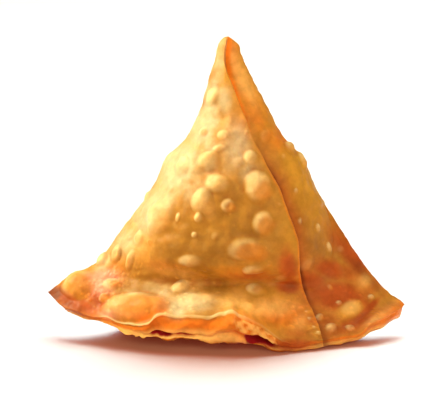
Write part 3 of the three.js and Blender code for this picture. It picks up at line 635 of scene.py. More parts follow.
def hem_lines(rim_place, rim):
    """The lines of the hem's face, from the front rim towards the back one, without the two corners."""
    across = rim["across"][1:-1]
    bearing = bearing_of(1.0, across)
    angle = np.radians(bearing)
    away = np.sin(angle)[:, None] * np.array([1.0, 0, 0]) + np.cos(angle)[:, None] * DOWN
    front = 0.35 * away + 0.94 * OUT
    lower = settle(back_point(np.ones_like(across), across))
    lines = []
    for step in range(1, HEM_STEPS):
        share = step / HEM_STEPS
        forward, out, state = hem_face(share, bearing)
        place = mix(rim_place[1:-1], lower, share)
        lumps = crumbs(place)
        forward = forward + CRUMB_LIFT * state["crumbly"] * lumps
        state["crumbly"] = state["crumbly"] * (0.4 + lumps)
        shift = forward[:, None] * front + out[:, None] * away
        place = place + shift * closing(across, HEM_CLOSING)[:, None]
        facing = mix(rim["facing"][1:-1], front, min(1, share / 0.35))
        values = {"facing": facing / np.linalg.norm(facing, axis=-1, keepdims=True),
                  "loose": max(0, 1 - share / 0.4) + 0 * across, "reach": 1 + 0.1 * share + 0 * across,
                  "across": across, "gap": rim["gap"][1:-1], **state}
        lines.append((settle(place), values))
    return lines


def ring_faces(upper, lower):
    """Two triangles between each pair of places of two lines of indices."""
    first = np.stack([upper[:-1], lower[:-1], lower[1:]], -1)
    second = np.stack([upper[:-1], lower[1:], upper[1:]], -1)
    return np.concatenate([first, second])


def zip_faces(upper, lower, x):
    """Triangles between two lines with different numbers of places, both running left to right."""
    faces = []
    i = k = 0
    while i + 1 < len(upper) or k + 1 < len(lower):
        lower_done = k + 1 >= len(lower)
        if i + 1 >= len(upper) or (not lower_done and x[lower[k + 1]] < x[upper[i + 1]]):
            faces.append((upper[i], lower[k], lower[k + 1]))
            k += 1
        else:
            faces.append((upper[i], lower[k], upper[i + 1]))
            i += 1
    return np.array(faces)


def crust_skin():
    """The whole skin: places, triangles and named values, before its blisters."""
    step = np.linspace(0, 1, ROWS)
    reach = mix(FIRST_REACH, 1, mix(step, np.sin(step * math.pi / 2), HEM_CROWDING))
    front, front_values = crust_grid(FRONT, reach)
    back, back_values = crust_grid(BACK, reach)
    front_count, back_count = front.shape[1], back.shape[1] - 2
    ring_size = front_count + back_count

    def ringed(front_part, back_part):
        """Rows that run round the cone: the front from left to right, then the back from right to left."""
        back_part = back_part[:, 1:-1][:, ::-1]
        return np.concatenate([front_part, back_part], 1)

    places = [APEX[None], ringed(front, back).reshape(-1, 3)]
    names = list(front_values)
    values = {name: [np.zeros((1,) + front_values[name].shape[2:])] for name in names}
    values["facing"][0][:] = (0, 0, 1)
    for name in names:
        both = ringed(front_values[name], back_values[name])
        values[name].append(both.reshape((-1,) + both.shape[2:]))

    ring = 1 + np.arange(ROWS * ring_size).reshape(ROWS, ring_size)
    ring = np.concatenate([ring, ring[:, :1]], 1)
    tip = np.stack([np.zeros(ring_size, int), ring[0, :-1], ring[0, 1:]], -1)
    faces = [tip] + [ring_faces(ring[row], ring[row + 1]) for row in range(ROWS - 1)]

    front_rim = ring[-1, :front_count]
    back_rim = ring[-1, front_count - 1:][::-1]
    rim = {name: front_values[name][-1] for name in names}
    count = 1 + ROWS * ring_size
    upper = front_rim
    for line, line_values in hem_lines(front[-1], rim):
        inner = count + np.arange(len(line))
        count += len(line)
        lower = np.concatenate([front_rim[:1], inner, front_rim[-1:]])
        faces.append(ring_faces(upper, lower))
        places.append(line)
        for name in names:
            values[name].append(line_values[name])
        upper = lower
    places = np.concatenate(places)
    faces.append(zip_faces(upper, back_rim, places[:, 0]))
    faces = np.concatenate(faces)
    distinct = (faces[:, 0] != faces[:, 1]) & (faces[:, 1] != faces[:, 2]) & (faces[:, 2] != faces[:, 0])
    return places, faces[distinct], {name: np.concatenate(parts) for name, parts in values.items()}


def in_fan(places):
    """How far each place is sideways and down from the apex and out from the fan's plane."""
    off = places - APEX
    return off[:, 0], off @ DOWN, off @ OUT


def crowding(places):
    """How thickly fine bubbles crowd each place, from 0 to 1."""
    sideways, down, out = in_fan(places)
    crowd = CROWDING_ELSEWHERE + 0 * down
    for centre_sideways, centre_down, radius, density in CROWDS:
        away = ((sideways - centre_sideways) ** 2 + (down - centre_down) ** 2) / radius ** 2
        crowd = np.maximum(crowd, density * np.exp(-away) * (out > -6))
    return crowd * ease(down, *CROWDING_START)


def tints(places):
    """How strongly each tint of the front colours each place, from 0 to 1."""
    sideways, down, out = in_fan(places)
    made = {}
    for name, rows in TINTS.items():
        made[name] = 0 * down
        for centre_sideways, centre_down, half_width, half_height, turn, strength in rows:
            across, along = sideways - centre_sideways, down - centre_down
            angle = math.radians(turn)
            wide = (across * math.cos(angle) + along * math.sin(angle)) / half_width
            tall = (along * math.cos(angle) - across * math.sin(angle)) / half_height
            patch = strength * np.exp(-0.7 * (wide ** 2 + tall ** 2))
            made[name] = np.maximum(made[name], patch * ease(out, -22, -15))
    return made


def frame_shift(places):
    """The move that takes the skin's middle to the middle of the solid's box in the frame, on the floor."""
    low, high = (np.array(corner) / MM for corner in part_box(NODE))
    across, back, _ = (low + high) / 2 - (places.min(0) + places.max(0)) / 2
    return np.array([across, back, -places[:, 2].min()])


def mesh_object(name, places, faces, values):
    """An object in metres from places in millimetres, with its named values as attributes of its points."""
    mesh = bpy.data.meshes.new(name)
    mesh.from_pydata((places * MM).tolist(), [], [list(map(int, face)) for face in faces])
    for key, data in values.items():
        data = np.asarray(data, np.float32)
        vector = data.ndim == 2
        attribute = mesh.attributes.new(key, "FLOAT_VECTOR" if vector else "FLOAT", "POINT")
        attribute.data.foreach_set("vector" if vector else "value", data.ravel())
    made = bpy.data.objects.new(name, mesh)
    bpy.context.scene.collection.objects.link(made)
    return made


# ----------------------------------------------------------------------------------------------------
# Node graphs, written as expressions
# ----------------------------------------------------------------------------------------------------
class Graph:
    """A node tree that grows by expressions on its wires."""

    def __init__(self, tree):
        self.tree = tree
        tree.nodes.clear()

    def node(self, kind, settings=None, sockets=None):
        """Adds a node, with its settings and then its sockets' values or links, by name or place."""
        made = self.tree.nodes.new(kind)
        for name, value in (settings or {}).items():
            setattr(made, name, value)
        for name, value in (sockets or {}).items():
            self.feed(self.pick(made.inputs, name), value)
        return Node(self, made)

    @staticmethod
    def pick(sockets, name):
        """The socket at a place, or the one in use that has a name."""
        if isinstance(name, int):
            return sockets[name]
        return next(socket for socket in sockets if socket.name == name and socket.enabled)

    def feed(self, socket, value):
        """Links a node or wire to a socket, or sets its value. None leaves it as it is."""
        if isinstance(value, Node):
            value = value.out()
        if isinstance(value, Wire):
            self.tree.links.new(value.socket, socket)
        elif value is not None:
            socket.default_value = value

    def maths(self, operation, *terms):
        """A Math node, or a Vector Math node where any term is a vector."""
        def is_vector(term):
            """Whether a term is a tuple or a vector wire, not a number or a wire of numbers."""
            return isinstance(term, tuple) or isinstance(term, Wire) and term.is_vector

        vector = any(is_vector(term) for term in terms)
        scaled = vector and operation == "MULTIPLY" and not is_vector(terms[1])
        made = self.tree.nodes.new("ShaderNodeVectorMath" if vector else "ShaderNodeMath")
        made.operation = "SCALE" if scaled else operation
        sockets = (made.inputs[0], made.inputs["Scale"]) if scaled else made.inputs
        for socket, term in zip(sockets, terms):
            self.feed(socket, term)
        number = not vector or operation in ("DOT_PRODUCT", "LENGTH")
        return Wire(self, made.outputs["Value" if number else "Vector"])


class Node:
    """A node whose outputs are picked by name."""

    def __init__(self, graph, made):
        self.graph = graph
        self.made = made

    def out(self, name=0):
        return Wire(self.graph, Graph.pick(self.made.outputs, name))


class Wire:
    """An output socket that Python's operators work on."""

    def __init__(self, graph, socket):
        self.graph = graph
        self.socket = socket

    @property
    def is_vector(self):
        return self.socket.type == "VECTOR"

    def __add__(self, other):
        return self.graph.maths("ADD", self, other)

    __radd__ = __add__

    def __sub__(self, other):
        return self.graph.maths("SUBTRACT", self, other)

    def __rsub__(self, other):
        return self.graph.maths("SUBTRACT", other, self)

    def __mul__(self, other):
        return self.graph.maths("MULTIPLY", self, other)

    def __truediv__(self, other):
        return self.graph.maths("DIVIDE", self, other)

    def __pow__(self, other):
        return self.graph.maths("POWER", self, other)

    def at_least(self, other):
        return self.graph.maths("MAXIMUM", self, other)

    def at_most(self, other):
        return self.graph.maths("MINIMUM", self, other)

    def dot(self, other):
        return self.graph.maths("DOT_PRODUCT", self, other)

    def length(self):
        return self.graph.maths("LENGTH", self)

    def bell(self, place, width):
        """One at a place, falling away to nothing over a width."""
        off = (self - place) * (1 / width)
        return self.graph.maths("EXPONENT", off * off * -1)

    def ease(self, low, high, start=0.0, end=1.0):
        """A smooth step from start at low to end at high."""
        return self.graph.node("ShaderNodeMapRange", {"interpolation_type": "SMOOTHSTEP"},
                               {"Value": self, "From Min": low, "From Max": high,
                                "To Min": start, "To Max": end}).out()


def noise(graph, where, scale, detail, rough, warp):
    """A noise between about 0 and 1, the same for geometry and colour."""
    return graph.node("ShaderNodeTexNoise", None,
                      {"Vector": where, "Scale": scale, "Detail": detail, "Roughness": rough,
                       "Distortion": warp}).out("Fac")


def new_geometry_tree(name, inputs):
    """A Geometry Nodes tree with its Geometry input and output and its other named inputs."""
    tree = bpy.data.node_groups.new(name, "GeometryNodeTree")
    tree.interface.new_socket("Geometry", in_out="INPUT", socket_type="NodeSocketGeometry")
    for label, kind, default in inputs:
        socket = tree.interface.new_socket(label, in_out="INPUT", socket_type=f"NodeSocket{kind}")
        if default is not None:
            socket.default_value = default
    tree.interface.new_socket("Geometry", in_out="OUTPUT", socket_type="NodeSocketGeometry")
    graph = Graph(tree)
    return tree, graph, graph.node("NodeGroupInput")


def grow(piece, tree, values):
    """Runs a Geometry Nodes tree on a piece and keeps the result as its plain mesh."""
    modifier = piece.modifiers.new(tree.name, "NODES")
    modifier.node_group = tree
    for item in tree.interface.items_tree:
        if item.item_type == "SOCKET" and item.in_out == "INPUT" and item.name in values:
            modifier[item.identifier] = values[item.name]
    depsgraph = bpy.context.evaluated_depsgraph_get()
    mesh = bpy.data.meshes.new_from_object(piece.evaluated_get(depsgraph))
    piece.modifiers.remove(modifier)
    old = piece.data
    piece.data = mesh
    bpy.data.meshes.remove(old)
    mesh.name = piece.name


def position(graph):
    """Where each point of the geometry is."""
    return graph.node("GeometryNodeInputPosition").out()


def named(graph, name, kind="FLOAT"):
    """A geometry's named attribute."""
    return graph.node("GeometryNodeInputNamedAttribute", {"data_type": kind}, {"Name": name}).out("Attribute")


def stored(graph, geometry, name, value, kind="FLOAT"):
    """The geometry with a value kept on its points under a name."""
    return graph.node("GeometryNodeStoreNamedAttribute", {"data_type": kind, "domain": "POINT"},
                      {"Geometry": geometry, "Name": name, "Value": value})


def sampled(graph, points, value, index, kind="FLOAT"):
    """A value of one of the points of another geometry."""
    return graph.node("GeometryNodeSampleIndex", {"data_type": kind, "domain": "POINT"},
                      {"Geometry": points, "Value": value, "Index": index}).out()


# ----------------------------------------------------------------------------------------------------
# The blisters' tree
# ----------------------------------------------------------------------------------------------------
# Its inputs, in metres. Pinheads are the fine bubbles, and each blister has a shallow ring round it.
BLISTER_INPUTS = [
    ("Blisters", "Object", None), ("Edge Sharpness", "Float", 2.6), ("Fullness", "Float", 1.1),
    ("Softer Side", "Float", 1.2), ("Ring Depth", "Float", 0.04), ("Wobble", "Float", 0.45),
    ("Wobble Scale", "Float", 150.0), ("Wobbly Size", "Float", 0.003), ("Crinkle", "Float", 0.00028),
    ("Crinkle Scale", "Float", 420.0), ("Pinhead Density", "Float", 20000.0),
    ("Pinhead Smallest", "Float", 0.00025), ("Pinhead Largest", "Float", 0.0007),
    ("Pinhead Fullness", "Float", 0.4), ("Seed", "Int", 4), ("Material", "Material", None)]
# The way towards the key light, where each blister is steep and has a painted highlight.
# The other side is soft.
LIT_SIDE = (-0.75, 0.0, 0.65)
# How many times the skin's shape is smoothed before it's set against itself to find its hollows.
HOLLOW_STEPS = 14


def blister_tree():
    """Raises a dome on the crust for each point of another object, one after another, then fine bubbles."""
    tree, graph, given = new_geometry_tree("Raise blisters", BLISTER_INPUTS)
    geometry = given.out("Geometry")
    for name in ("blister", "browned", "pale"):
        geometry = stored(graph, geometry, name, 0.0)
    geometry = stored(graph, geometry, "raise", (0.0, 0.0, 0.0), "FLOAT_VECTOR")
    geometry = with_blisters(graph, given, geometry)

    crinkle = noise(graph, position(graph), given.out("Crinkle Scale"), 0.0, 0.5, 0.0) - 0.5
    crinkled = named(graph, "facing", "FLOAT_VECTOR") * (crinkle * given.out("Crinkle") * 2)
    geometry = risen(graph, geometry, named(graph, "raise", "FLOAT_VECTOR") + crinkled)
    geometry = with_pinheads(graph, given, geometry)

    around = graph.node("GeometryNodeBlurAttribute", {"data_type": "FLOAT_VECTOR"},
                        {"Value": position(graph), "Iterations": HOLLOW_STEPS}).out()
    normal = graph.node("GeometryNodeInputNormal").out()
    geometry = stored(graph, geometry, "hollow", (around - position(graph)).dot(normal) * (1 / MM))
    geometry = graph.node("GeometryNodeSetShadeSmooth", None, {"Geometry": geometry})
    geometry = graph.node("GeometryNodeRealizeInstances", None, {"Geometry": geometry})
    geometry = graph.node("GeometryNodeSetMaterial", None,
                          {"Geometry": geometry, "Material": given.out("Material")})
    graph.node("NodeGroupOutput", None, {"Geometry": geometry})
    return tree


def with_blisters(graph, given, geometry):
    """Adds up the blisters' lifts in a Repeat Zone, and keeps the strongest of what colours them."""
    points = graph.node("GeometryNodeObjectInfo", {"transform_space": "ORIGINAL"},
                        {"Object": given.out("Blisters")}).out("Geometry")
    count = graph.node("GeometryNodeAttributeDomainSize", {"component": "MESH"}, {"Geometry": points})
    start = graph.tree.nodes.new("GeometryNodeRepeatInput")
    end = graph.tree.nodes.new("GeometryNodeRepeatOutput")
    start.pair_with_output(end)
    graph.feed(start.inputs["Iterations"], count.out("Point Count"))
    graph.feed(Graph.pick(start.inputs, "Geometry"), geometry)
    loop = Node(graph, start)

    def picked(value, kind="FLOAT"):
        """What the blister of this turn of the loop says."""
        return sampled(graph, points, value, loop.out("Iteration"), kind)

    away = position(graph) - picked(position(graph), "FLOAT_VECTOR")
    facing, wide, tall = (picked(named(graph, name, "FLOAT_VECTOR"), "FLOAT_VECTOR")
                          for name in ("facing", "wide", "tall"))
    half_width, half_height, lift, dented, brown = (
        picked(named(graph, name)) for name in ("half_width", "half_height", "lift", "dent", "browned"))
    widest = half_width.at_least(half_height)

    off_wide, off_tall = away.dot(wide) / half_width, away.dot(tall) / half_height
    off_deep = away.dot(facing) / widest
    wobble = noise(graph, position(graph), given.out("Wobble Scale"), 0.0, 0.5, 0.0) - 0.5
    wobble = wobble * given.out("Wobble") * 2 * (given.out("Wobbly Size") / half_width).at_most(1)
    distance = (off_wide * off_wide + off_tall * off_tall + off_deep * off_deep) ** 0.5 * (1 + wobble)
    lean = away.dot(LIT_SIDE) / widest
    fullness = given.out("Fullness") + lean.ease(0.2, -0.7) * given.out("Softer Side")
    dome = (1 - distance ** given.out("Edge Sharpness")).at_least(0) ** fullness
    ring = distance.bell(1.08, 0.12) * given.out("Ring Depth")
    dent = distance.bell(0, 0.5) * dented
    agree = named(graph, "facing", "FLOAT_VECTOR").dot(facing).ease(0.1, 0.5)
    bold = (lift / half_width.at_most(half_height)).ease(0.08, 0.32)

    raised = named(graph, "raise", "FLOAT_VECTOR") + facing * (agree * lift * (dome * (1 - dent) - ring))
    geometry = stored(graph, loop.out("Geometry"), "raise", raised, "FLOAT_VECTOR")
    # The pale share is a painted highlight on each blister's lit side, the browned share leans away from that
    # side as partly painted shade, and the blister share fades away from it, partly painted highlight.
    for name, strength in (
            ("pale", agree * dome * lean.ease(-0.1, 0.7) * bold * (1.5 - brown).at_least(0).at_most(1)),
            ("browned", agree * (distance + lean * 0.4).ease(0.95, 0.3) * brown),
            ("blister", agree * dome * (0.4 + bold * 0.6) * lean.ease(-0.9, 0.2, 0.3, 1))):
        geometry = stored(graph, geometry, name, named(graph, name).at_least(strength))
    graph.feed(Graph.pick(end.inputs, "Geometry"), geometry)
    return Node(graph, end).out("Geometry")


def risen(graph, geometry, offset):
    """Moves the loose skin by an offset, and keeps it off the floor."""
    moved = graph.node("GeometryNodeSetPosition", None,
                       {"Geometry": geometry, "Offset": offset * named(graph, "loose")})
    return graph.node("GeometryNodeSetPosition", None,
                      {"Geometry": moved, "Position": position(graph).at_least((-1.0, -1.0, 0.0))})


def with_pinheads(graph, given, geometry):
    """Scatters fine bubbles over the crowded parts and raises the skin at each."""
    scattered = graph.node("GeometryNodeDistributePointsOnFaces", {"distribute_method": "RANDOM"},
                           {"Mesh": geometry, "Seed": given.out("Seed"),
                            "Density": given.out("Pinhead Density") * named(graph, "bubbly")})
    size = graph.node("FunctionNodeRandomValue", {"data_type": "FLOAT"},
                      {"Min": given.out("Pinhead Smallest"), "Max": given.out("Pinhead Largest"),
                       "Seed": given.out("Seed")}).out("Value")
    points = stored(graph, scattered.out("Points"), "size", size).out()
    nearest = graph.node("GeometryNodeSampleNearest", {"domain": "POINT"}, {"Geometry": points}).out()
    middle = sampled(graph, points, position(graph), nearest, "FLOAT_VECTOR")
    size = sampled(graph, points, named(graph, "size"), nearest)
    far = (position(graph) - middle).length() / size
    geometry = stored(graph, geometry, "pinhead", (1 - far * far).at_least(0) ** 0.6)
    height = named(graph, "pinhead") * size * given.out("Pinhead Fullness")
    return risen(graph, geometry, named(graph, "facing", "FLOAT_VECTOR") * height)


# ----------------------------------------------------------------------------------------------------
# Finishes
# ----------------------------------------------------------------------------------------------------
# The dough's noises as scale, detail, roughness and distortion, from the broadest to the finest.
DOUGH_NOISES = ((40, 2, 0.5, 0.3), (120, 4, 0.6, 0.3), (300, 3, 0.6, 0.2), (700, 3, 0.6, 0))


def tone(code):
    """A colour written as a hex code, as Blender's own linear values."""
    parts = [int(code[i:i + 2], 16) / 255 for i in (1, 3, 5)]
    return tuple(part / 12.92 if part <= 0.04045 else ((part + 0.055) / 1.055) ** 2.4 for part in parts)


def new_material(name):
    """A material and the graph of its empty node tree."""
    material = bpy.data.materials.new(name)
    material.use_nodes = True
    return material, Graph(material.node_tree)


def blend(graph, share, start, end, way="MIX"):
    """A colour between two others."""
    def full(colour):
        """Adds the alpha that a colour written as three numbers lacks."""
        return (*colour, 1) if isinstance(colour, tuple) and len(colour) == 3 else colour

    return graph.node("ShaderNodeMix", {"data_type": "RGBA", "blend_type": way, "clamp_factor": True},
                      {"Factor": share, "A": full(start), "B": full(end)}).out("Result")


class Paint:
    """The crust's colour, which grows by layers of the colours in its settings."""

    def __init__(self, graph, settings, first):
        self.graph = graph
        self.settings = settings
        self.colour = tuple(getattr(settings, first))

    def read(self, *names):
        """The crust's attributes."""
        return [self.graph.node("ShaderNodeAttribute", {"attribute_name": name}).out("Fac") for name in names]

    def over(self, share, name):
        """Lays one of the settings' colours over the rest."""
        self.colour = blend(self.graph, share, self.colour, tuple(getattr(self.settings, name)))

    def shade(self, share, factor):
        """Lightens or darkens the colour by a factor."""
        self.colour = blend(self.graph, share, self.colour, factor, "MULTIPLY")


def paint_dough(paint, broad, cloudy, patchy):
    """Golden dough, lighter past the crease, and its tints with patchy edges, some of them painted light and
    shade.
    """
    reach, = paint.read("reach")
    paint.over(broad.ease(0.35, 0.65), "golden")
    paint.over(cloudy.ease(0.5, 0.8) * 0.12, "cream")
    paint.over(reach.ease(1, 1.03) * 0.8, "orange")
    paint.over(reach.ease(1.035, 1.075), "amber")
    for name in TINTS:
        strength, = paint.read(name)
        paint.over((strength + patchy * 1.6 * (strength * 3).at_most(1)).ease(0.02, 0.9), name)


def paint_seam(paint):
    """Painted light on the thin strip beside the flap, a painted highlight on its edge, and painted shadow
    beside it.
    """
    reach, gap = paint.read("reach", "gap")
    under = (gap + 0.2).ease(0.2, 0)
    lower = reach.ease(0.3, 0.5) * reach.ease(0.8, 0.9, 1, 0.4)
    # Painted light through the thin strip beside the flap near the apex.
    paint.over((gap + 2.6).ease(0, 1.6) * under * reach.ease(0.4, 0.15), "glow")
    # Painted shadow on the layer beside the flap, darkest next to its edge.
    paint.over((gap + 7).ease(0, 6) * under * lower * 0.8, "russet")
    paint.over((gap + 2.8).ease(0, 2) * under * lower * 0.85, "umber")
    paint.shade((gap + 2.2).ease(0, 1.4) * under * lower, (0.45, 0.3, 0.3))
    # Painted highlight along the flap's edge.
    paint.over(gap.bell(0.1, 0.35) * lower * 0.4, "glow")


def paint_relief(paint, patchy):
    """Pale blisters and rims with painted highlight, fine bubbles with a painted glint, toasted middles,
    crumbs, and painted shade in the hollows and slits.
    """
    blister, browned, pale, pinhead = paint.read("blister", "browned", "pale", "pinhead")
    crumbly, rim, hollow, cavity = paint.read("crumbly", "rim", "hollow", "cavity")
    dome = (blister + patchy * 0.6 * blister).ease(0, 0.8)
    # Blisters paler than the dough, fading away from the lit side: partly painted highlight.
    paint.shade(dome * 0.6, (1.25, 1.3, 1.35))
    paint.over(dome * 0.3, "blister")
    # Toasted middles, moved away from the lit side: partly painted shade.
    paint.over(browned.ease(0.05, 0.9) * 0.75, "toasted")
    # Painted highlight on each blister's lit side.
    paint.over(pale.ease(0, 0.6) * 0.6, "blister")
    # Fine bubbles lightened: partly a painted glint.
    paint.shade(pinhead * 0.5, (1.4, 1.4, 1.5))
    paint.over(crumbly.ease(0.3, 1.1) * 0.8, "amber")
    # Pale rim edge, partly a painted highlight.
    paint.over(rim * 0.8, "blister")
    # Painted shade in the hollows.
    paint.over(hollow.ease(0.05, 0.5) * 0.35, "russet")
    # Painted shade deep in the slits.
    paint.over(cavity.ease(0.1, 0.6), "cavity")


def fried_dough(settings):
    """The crust: golden dough, tinted where the oil was hotter, with pale blisters, painted highlight
    on its lit side and painted shade in its creases and hollows.
    """
    material, graph = new_material("Fried dough")
    where = graph.node("ShaderNodeTexCoord").out("Object")
    broad, cloudy, mottled, fine = (noise(graph, where, *row) for row in DOUGH_NOISES)
    patchy = (broad - 0.5) * 0.5 + (cloudy - 0.5) * 0.5
    paint = Paint(graph, settings, "tan")
    paint_dough(paint, broad, cloudy, patchy)
    paint_seam(paint)
    paint_relief(paint, patchy)
    paint.shade(1.0, blend(graph, mottled.ease(0.3, 0.7), (0.95, 0.93, 0.9), (1.18, 1.18, 1.18)))
    paint.shade(0.5, blend(graph, fine, (0.8, 0.8, 0.8), (1.2, 1.2, 1.2)))
    normal = graph.node("ShaderNodeBump", None,
                        {"Strength": 0.4, "Distance": 0.0003, "Height": fine * 0.6 + mottled})
    shader = graph.node("ShaderNodeBsdfPrincipled", None, {
        "Base Color": paint.colour, "Roughness": 0.34 + mottled * 0.24, "Normal": normal,
        "Subsurface Weight": 0.25, "Subsurface Radius": (1, 0.35, 0.1), "Subsurface Scale": 0.003,
        "Specular IOR Level": 0.22, "Specular Tint": (1, 0.75, 0.45, 1), "IOR": 1.42})
    graph.node("ShaderNodeOutputMaterial", None, {"Surface": shader})
    return material


def studio_floor(settings):
    """A plain matt floor."""
    material, graph = new_material("Studio floor")
    shader = graph.node("ShaderNodeBsdfPrincipled", None, {
        "Base Color": (*settings.floor, 1), "Roughness": 0.7, "Specular IOR Level": 0.2})
    graph.node("ShaderNodeOutputMaterial", None, {"Surface": shader})
    return material


# ----------------------------------------------------------------------------------------------------
# Settings
# ----------------------------------------------------------------------------------------------------
def colour_property(label, text, code):
    """A colour, with its default as a hex code."""
    return bpy.props.FloatVectorProperty(name=label, description=text, default=tone(code), size=3,
                                         min=0, max=1, subtype="COLOR")


def power_property(label, text, watts):
    """A light's power."""
    return bpy.props.FloatProperty(name=label, description=text, default=watts, unit="POWER")


def plain_property(label, text, value):
    """A number without a unit."""
    return bpy.props.FloatProperty(name=label, description=text, default=value, min=0)


class CrustSettings(bpy.types.PropertyGroup):
    """Sizes and colours of the crust."""

    tan: colour_property("Tan", "Dough that the oil hardly browned", "#9E6A20")
    golden: colour_property("Golden", "Dough that the oil browned a little", "#C08430")
    # Cream is also the painted highlight along the lit left edge and on the flange's top.
    cream: colour_property("Cream", "Dough that stayed pale", "#C2AC76")
    honey: colour_property("Honey", "Smooth dough with more colour", "#C08828")
    orange: colour_property("Orange", "Thin dough that light shines through", "#D87018")
    # Glow is painted light: the strip beside the flap that light shines through, and a painted highlight on
    # the flap's edge.
    glow: colour_property("Glow", "The thin strip of dough beside the flap", "#E47C1A")
    # Russet is also painted shade: beside the flap, in the hollows and in the creases.
    russet: colour_property("Russet", "Dough that the oil browned most", "#A84C18")
    # Umber is also the painted shadow line beside the flap.
    umber: colour_property("Umber", "Edges that the oil almost burnt", "#703410")
    pink: colour_property("Pink", "Raw-looking dough under fine bubbles", "#D88C64")
    # Blister is also the painted highlight on each blister's lit side and on the pale rims.
    blister: colour_property("Blister", "Thin skin over the blisters", "#DCC07C")
    # Toasted middles sit away from the lit side, partly as painted shade.
    toasted: colour_property("Toasted", "Middles of the blisters that touched the pan", "#C07420")
    gilt: colour_property("Gilt", "Yellow patches among the darkest dough", "#D89838")
    # Amber is also painted light in the crease below the belly.
    amber: colour_property("Amber", "Light dough of the hem's thin rims", "#ECB058")
    # Cavity is painted shade deep in the slits between the layers.
    cavity: colour_property("Cavity", "Deep slits between the layers", "#B0282A")
    pinheads: plain_property("Pinheads", "Fine bubbles per square metre of crust", 700000)


class StageSettings(bpy.types.PropertyGroup):
    """The floor, the lights and the camera."""

    floor: colour_property("Floor", "Floor that the sky takes to white", "#956048")
    distance: bpy.props.FloatProperty(name="Distance", description="Camera to apex", default=0.6, min=0.2,
                                      unit="LENGTH")
    elevation: bpy.props.FloatProperty(name="Elevation", description="How far the camera looks down",
                                       default=LEAN, subtype="ANGLE")
    key: power_property("Key", "Power of the soft light at the left", 8)
    fill: power_property("Fill", "Power of the soft light in front", 2.4)
    top: power_property("Top", "Power of the soft light above", 3.4)
    sky: power_property("Sky", "Power of the light on the floor", 104)
    blush: power_property("Blush", "Power of the red light that reaches under the sky's", 38)
    umbra: plain_property("Umbra", "Strength of the red light in the darkest shadow", 0.9)
    air: colour_property("Air", "Colour of the light from all around", "#FFE6DC")
    haze: plain_property("Haze", "Strength of the light from all around", 0.3)


# ----------------------------------------------------------------------------------------------------
# Operators
# ----------------------------------------------------------------------------------------------------
# Camera framing: the view's width and height and the apex's place in it, in pixels, the millimetres in one
# pixel, the sensor's width in millimetres, and how far the camera sees in metres.
VIEW = (438, 411)
APEX_PIXEL = (228, 36)
PIXEL = 0.294
SENSOR_WIDTH = 36
FARTHEST_SEEN = 50

# What the lights shine on, where the lamps aim, and how far away the lights over the floor are.
FOR_CRUST = "Lit by the lamps"
FOR_FLOOR = "Lit by the sky"
LAMPS_AIM = (0, 0, 0.035)
SKY_DISTANCE = 1.5
FLOOR_SIZE = 12


def collection(name):
    """A collection that only says which pieces a light shines on."""
    return bpy.data.collections.get(name) or bpy.data.collections.new(name)


def new_light(name, kind, power, colour, shone_on):
    """A light that shines on the pieces of one collection alone."""
    data = bpy.data.lights.new(name, kind)
    data.energy = power
    data.color = colour
    light = bpy.data.objects.new(name, data)
    bpy.context.scene.collection.objects.link(light)
    light.light_linking.receiver_collection = collection(shone_on)
    return light


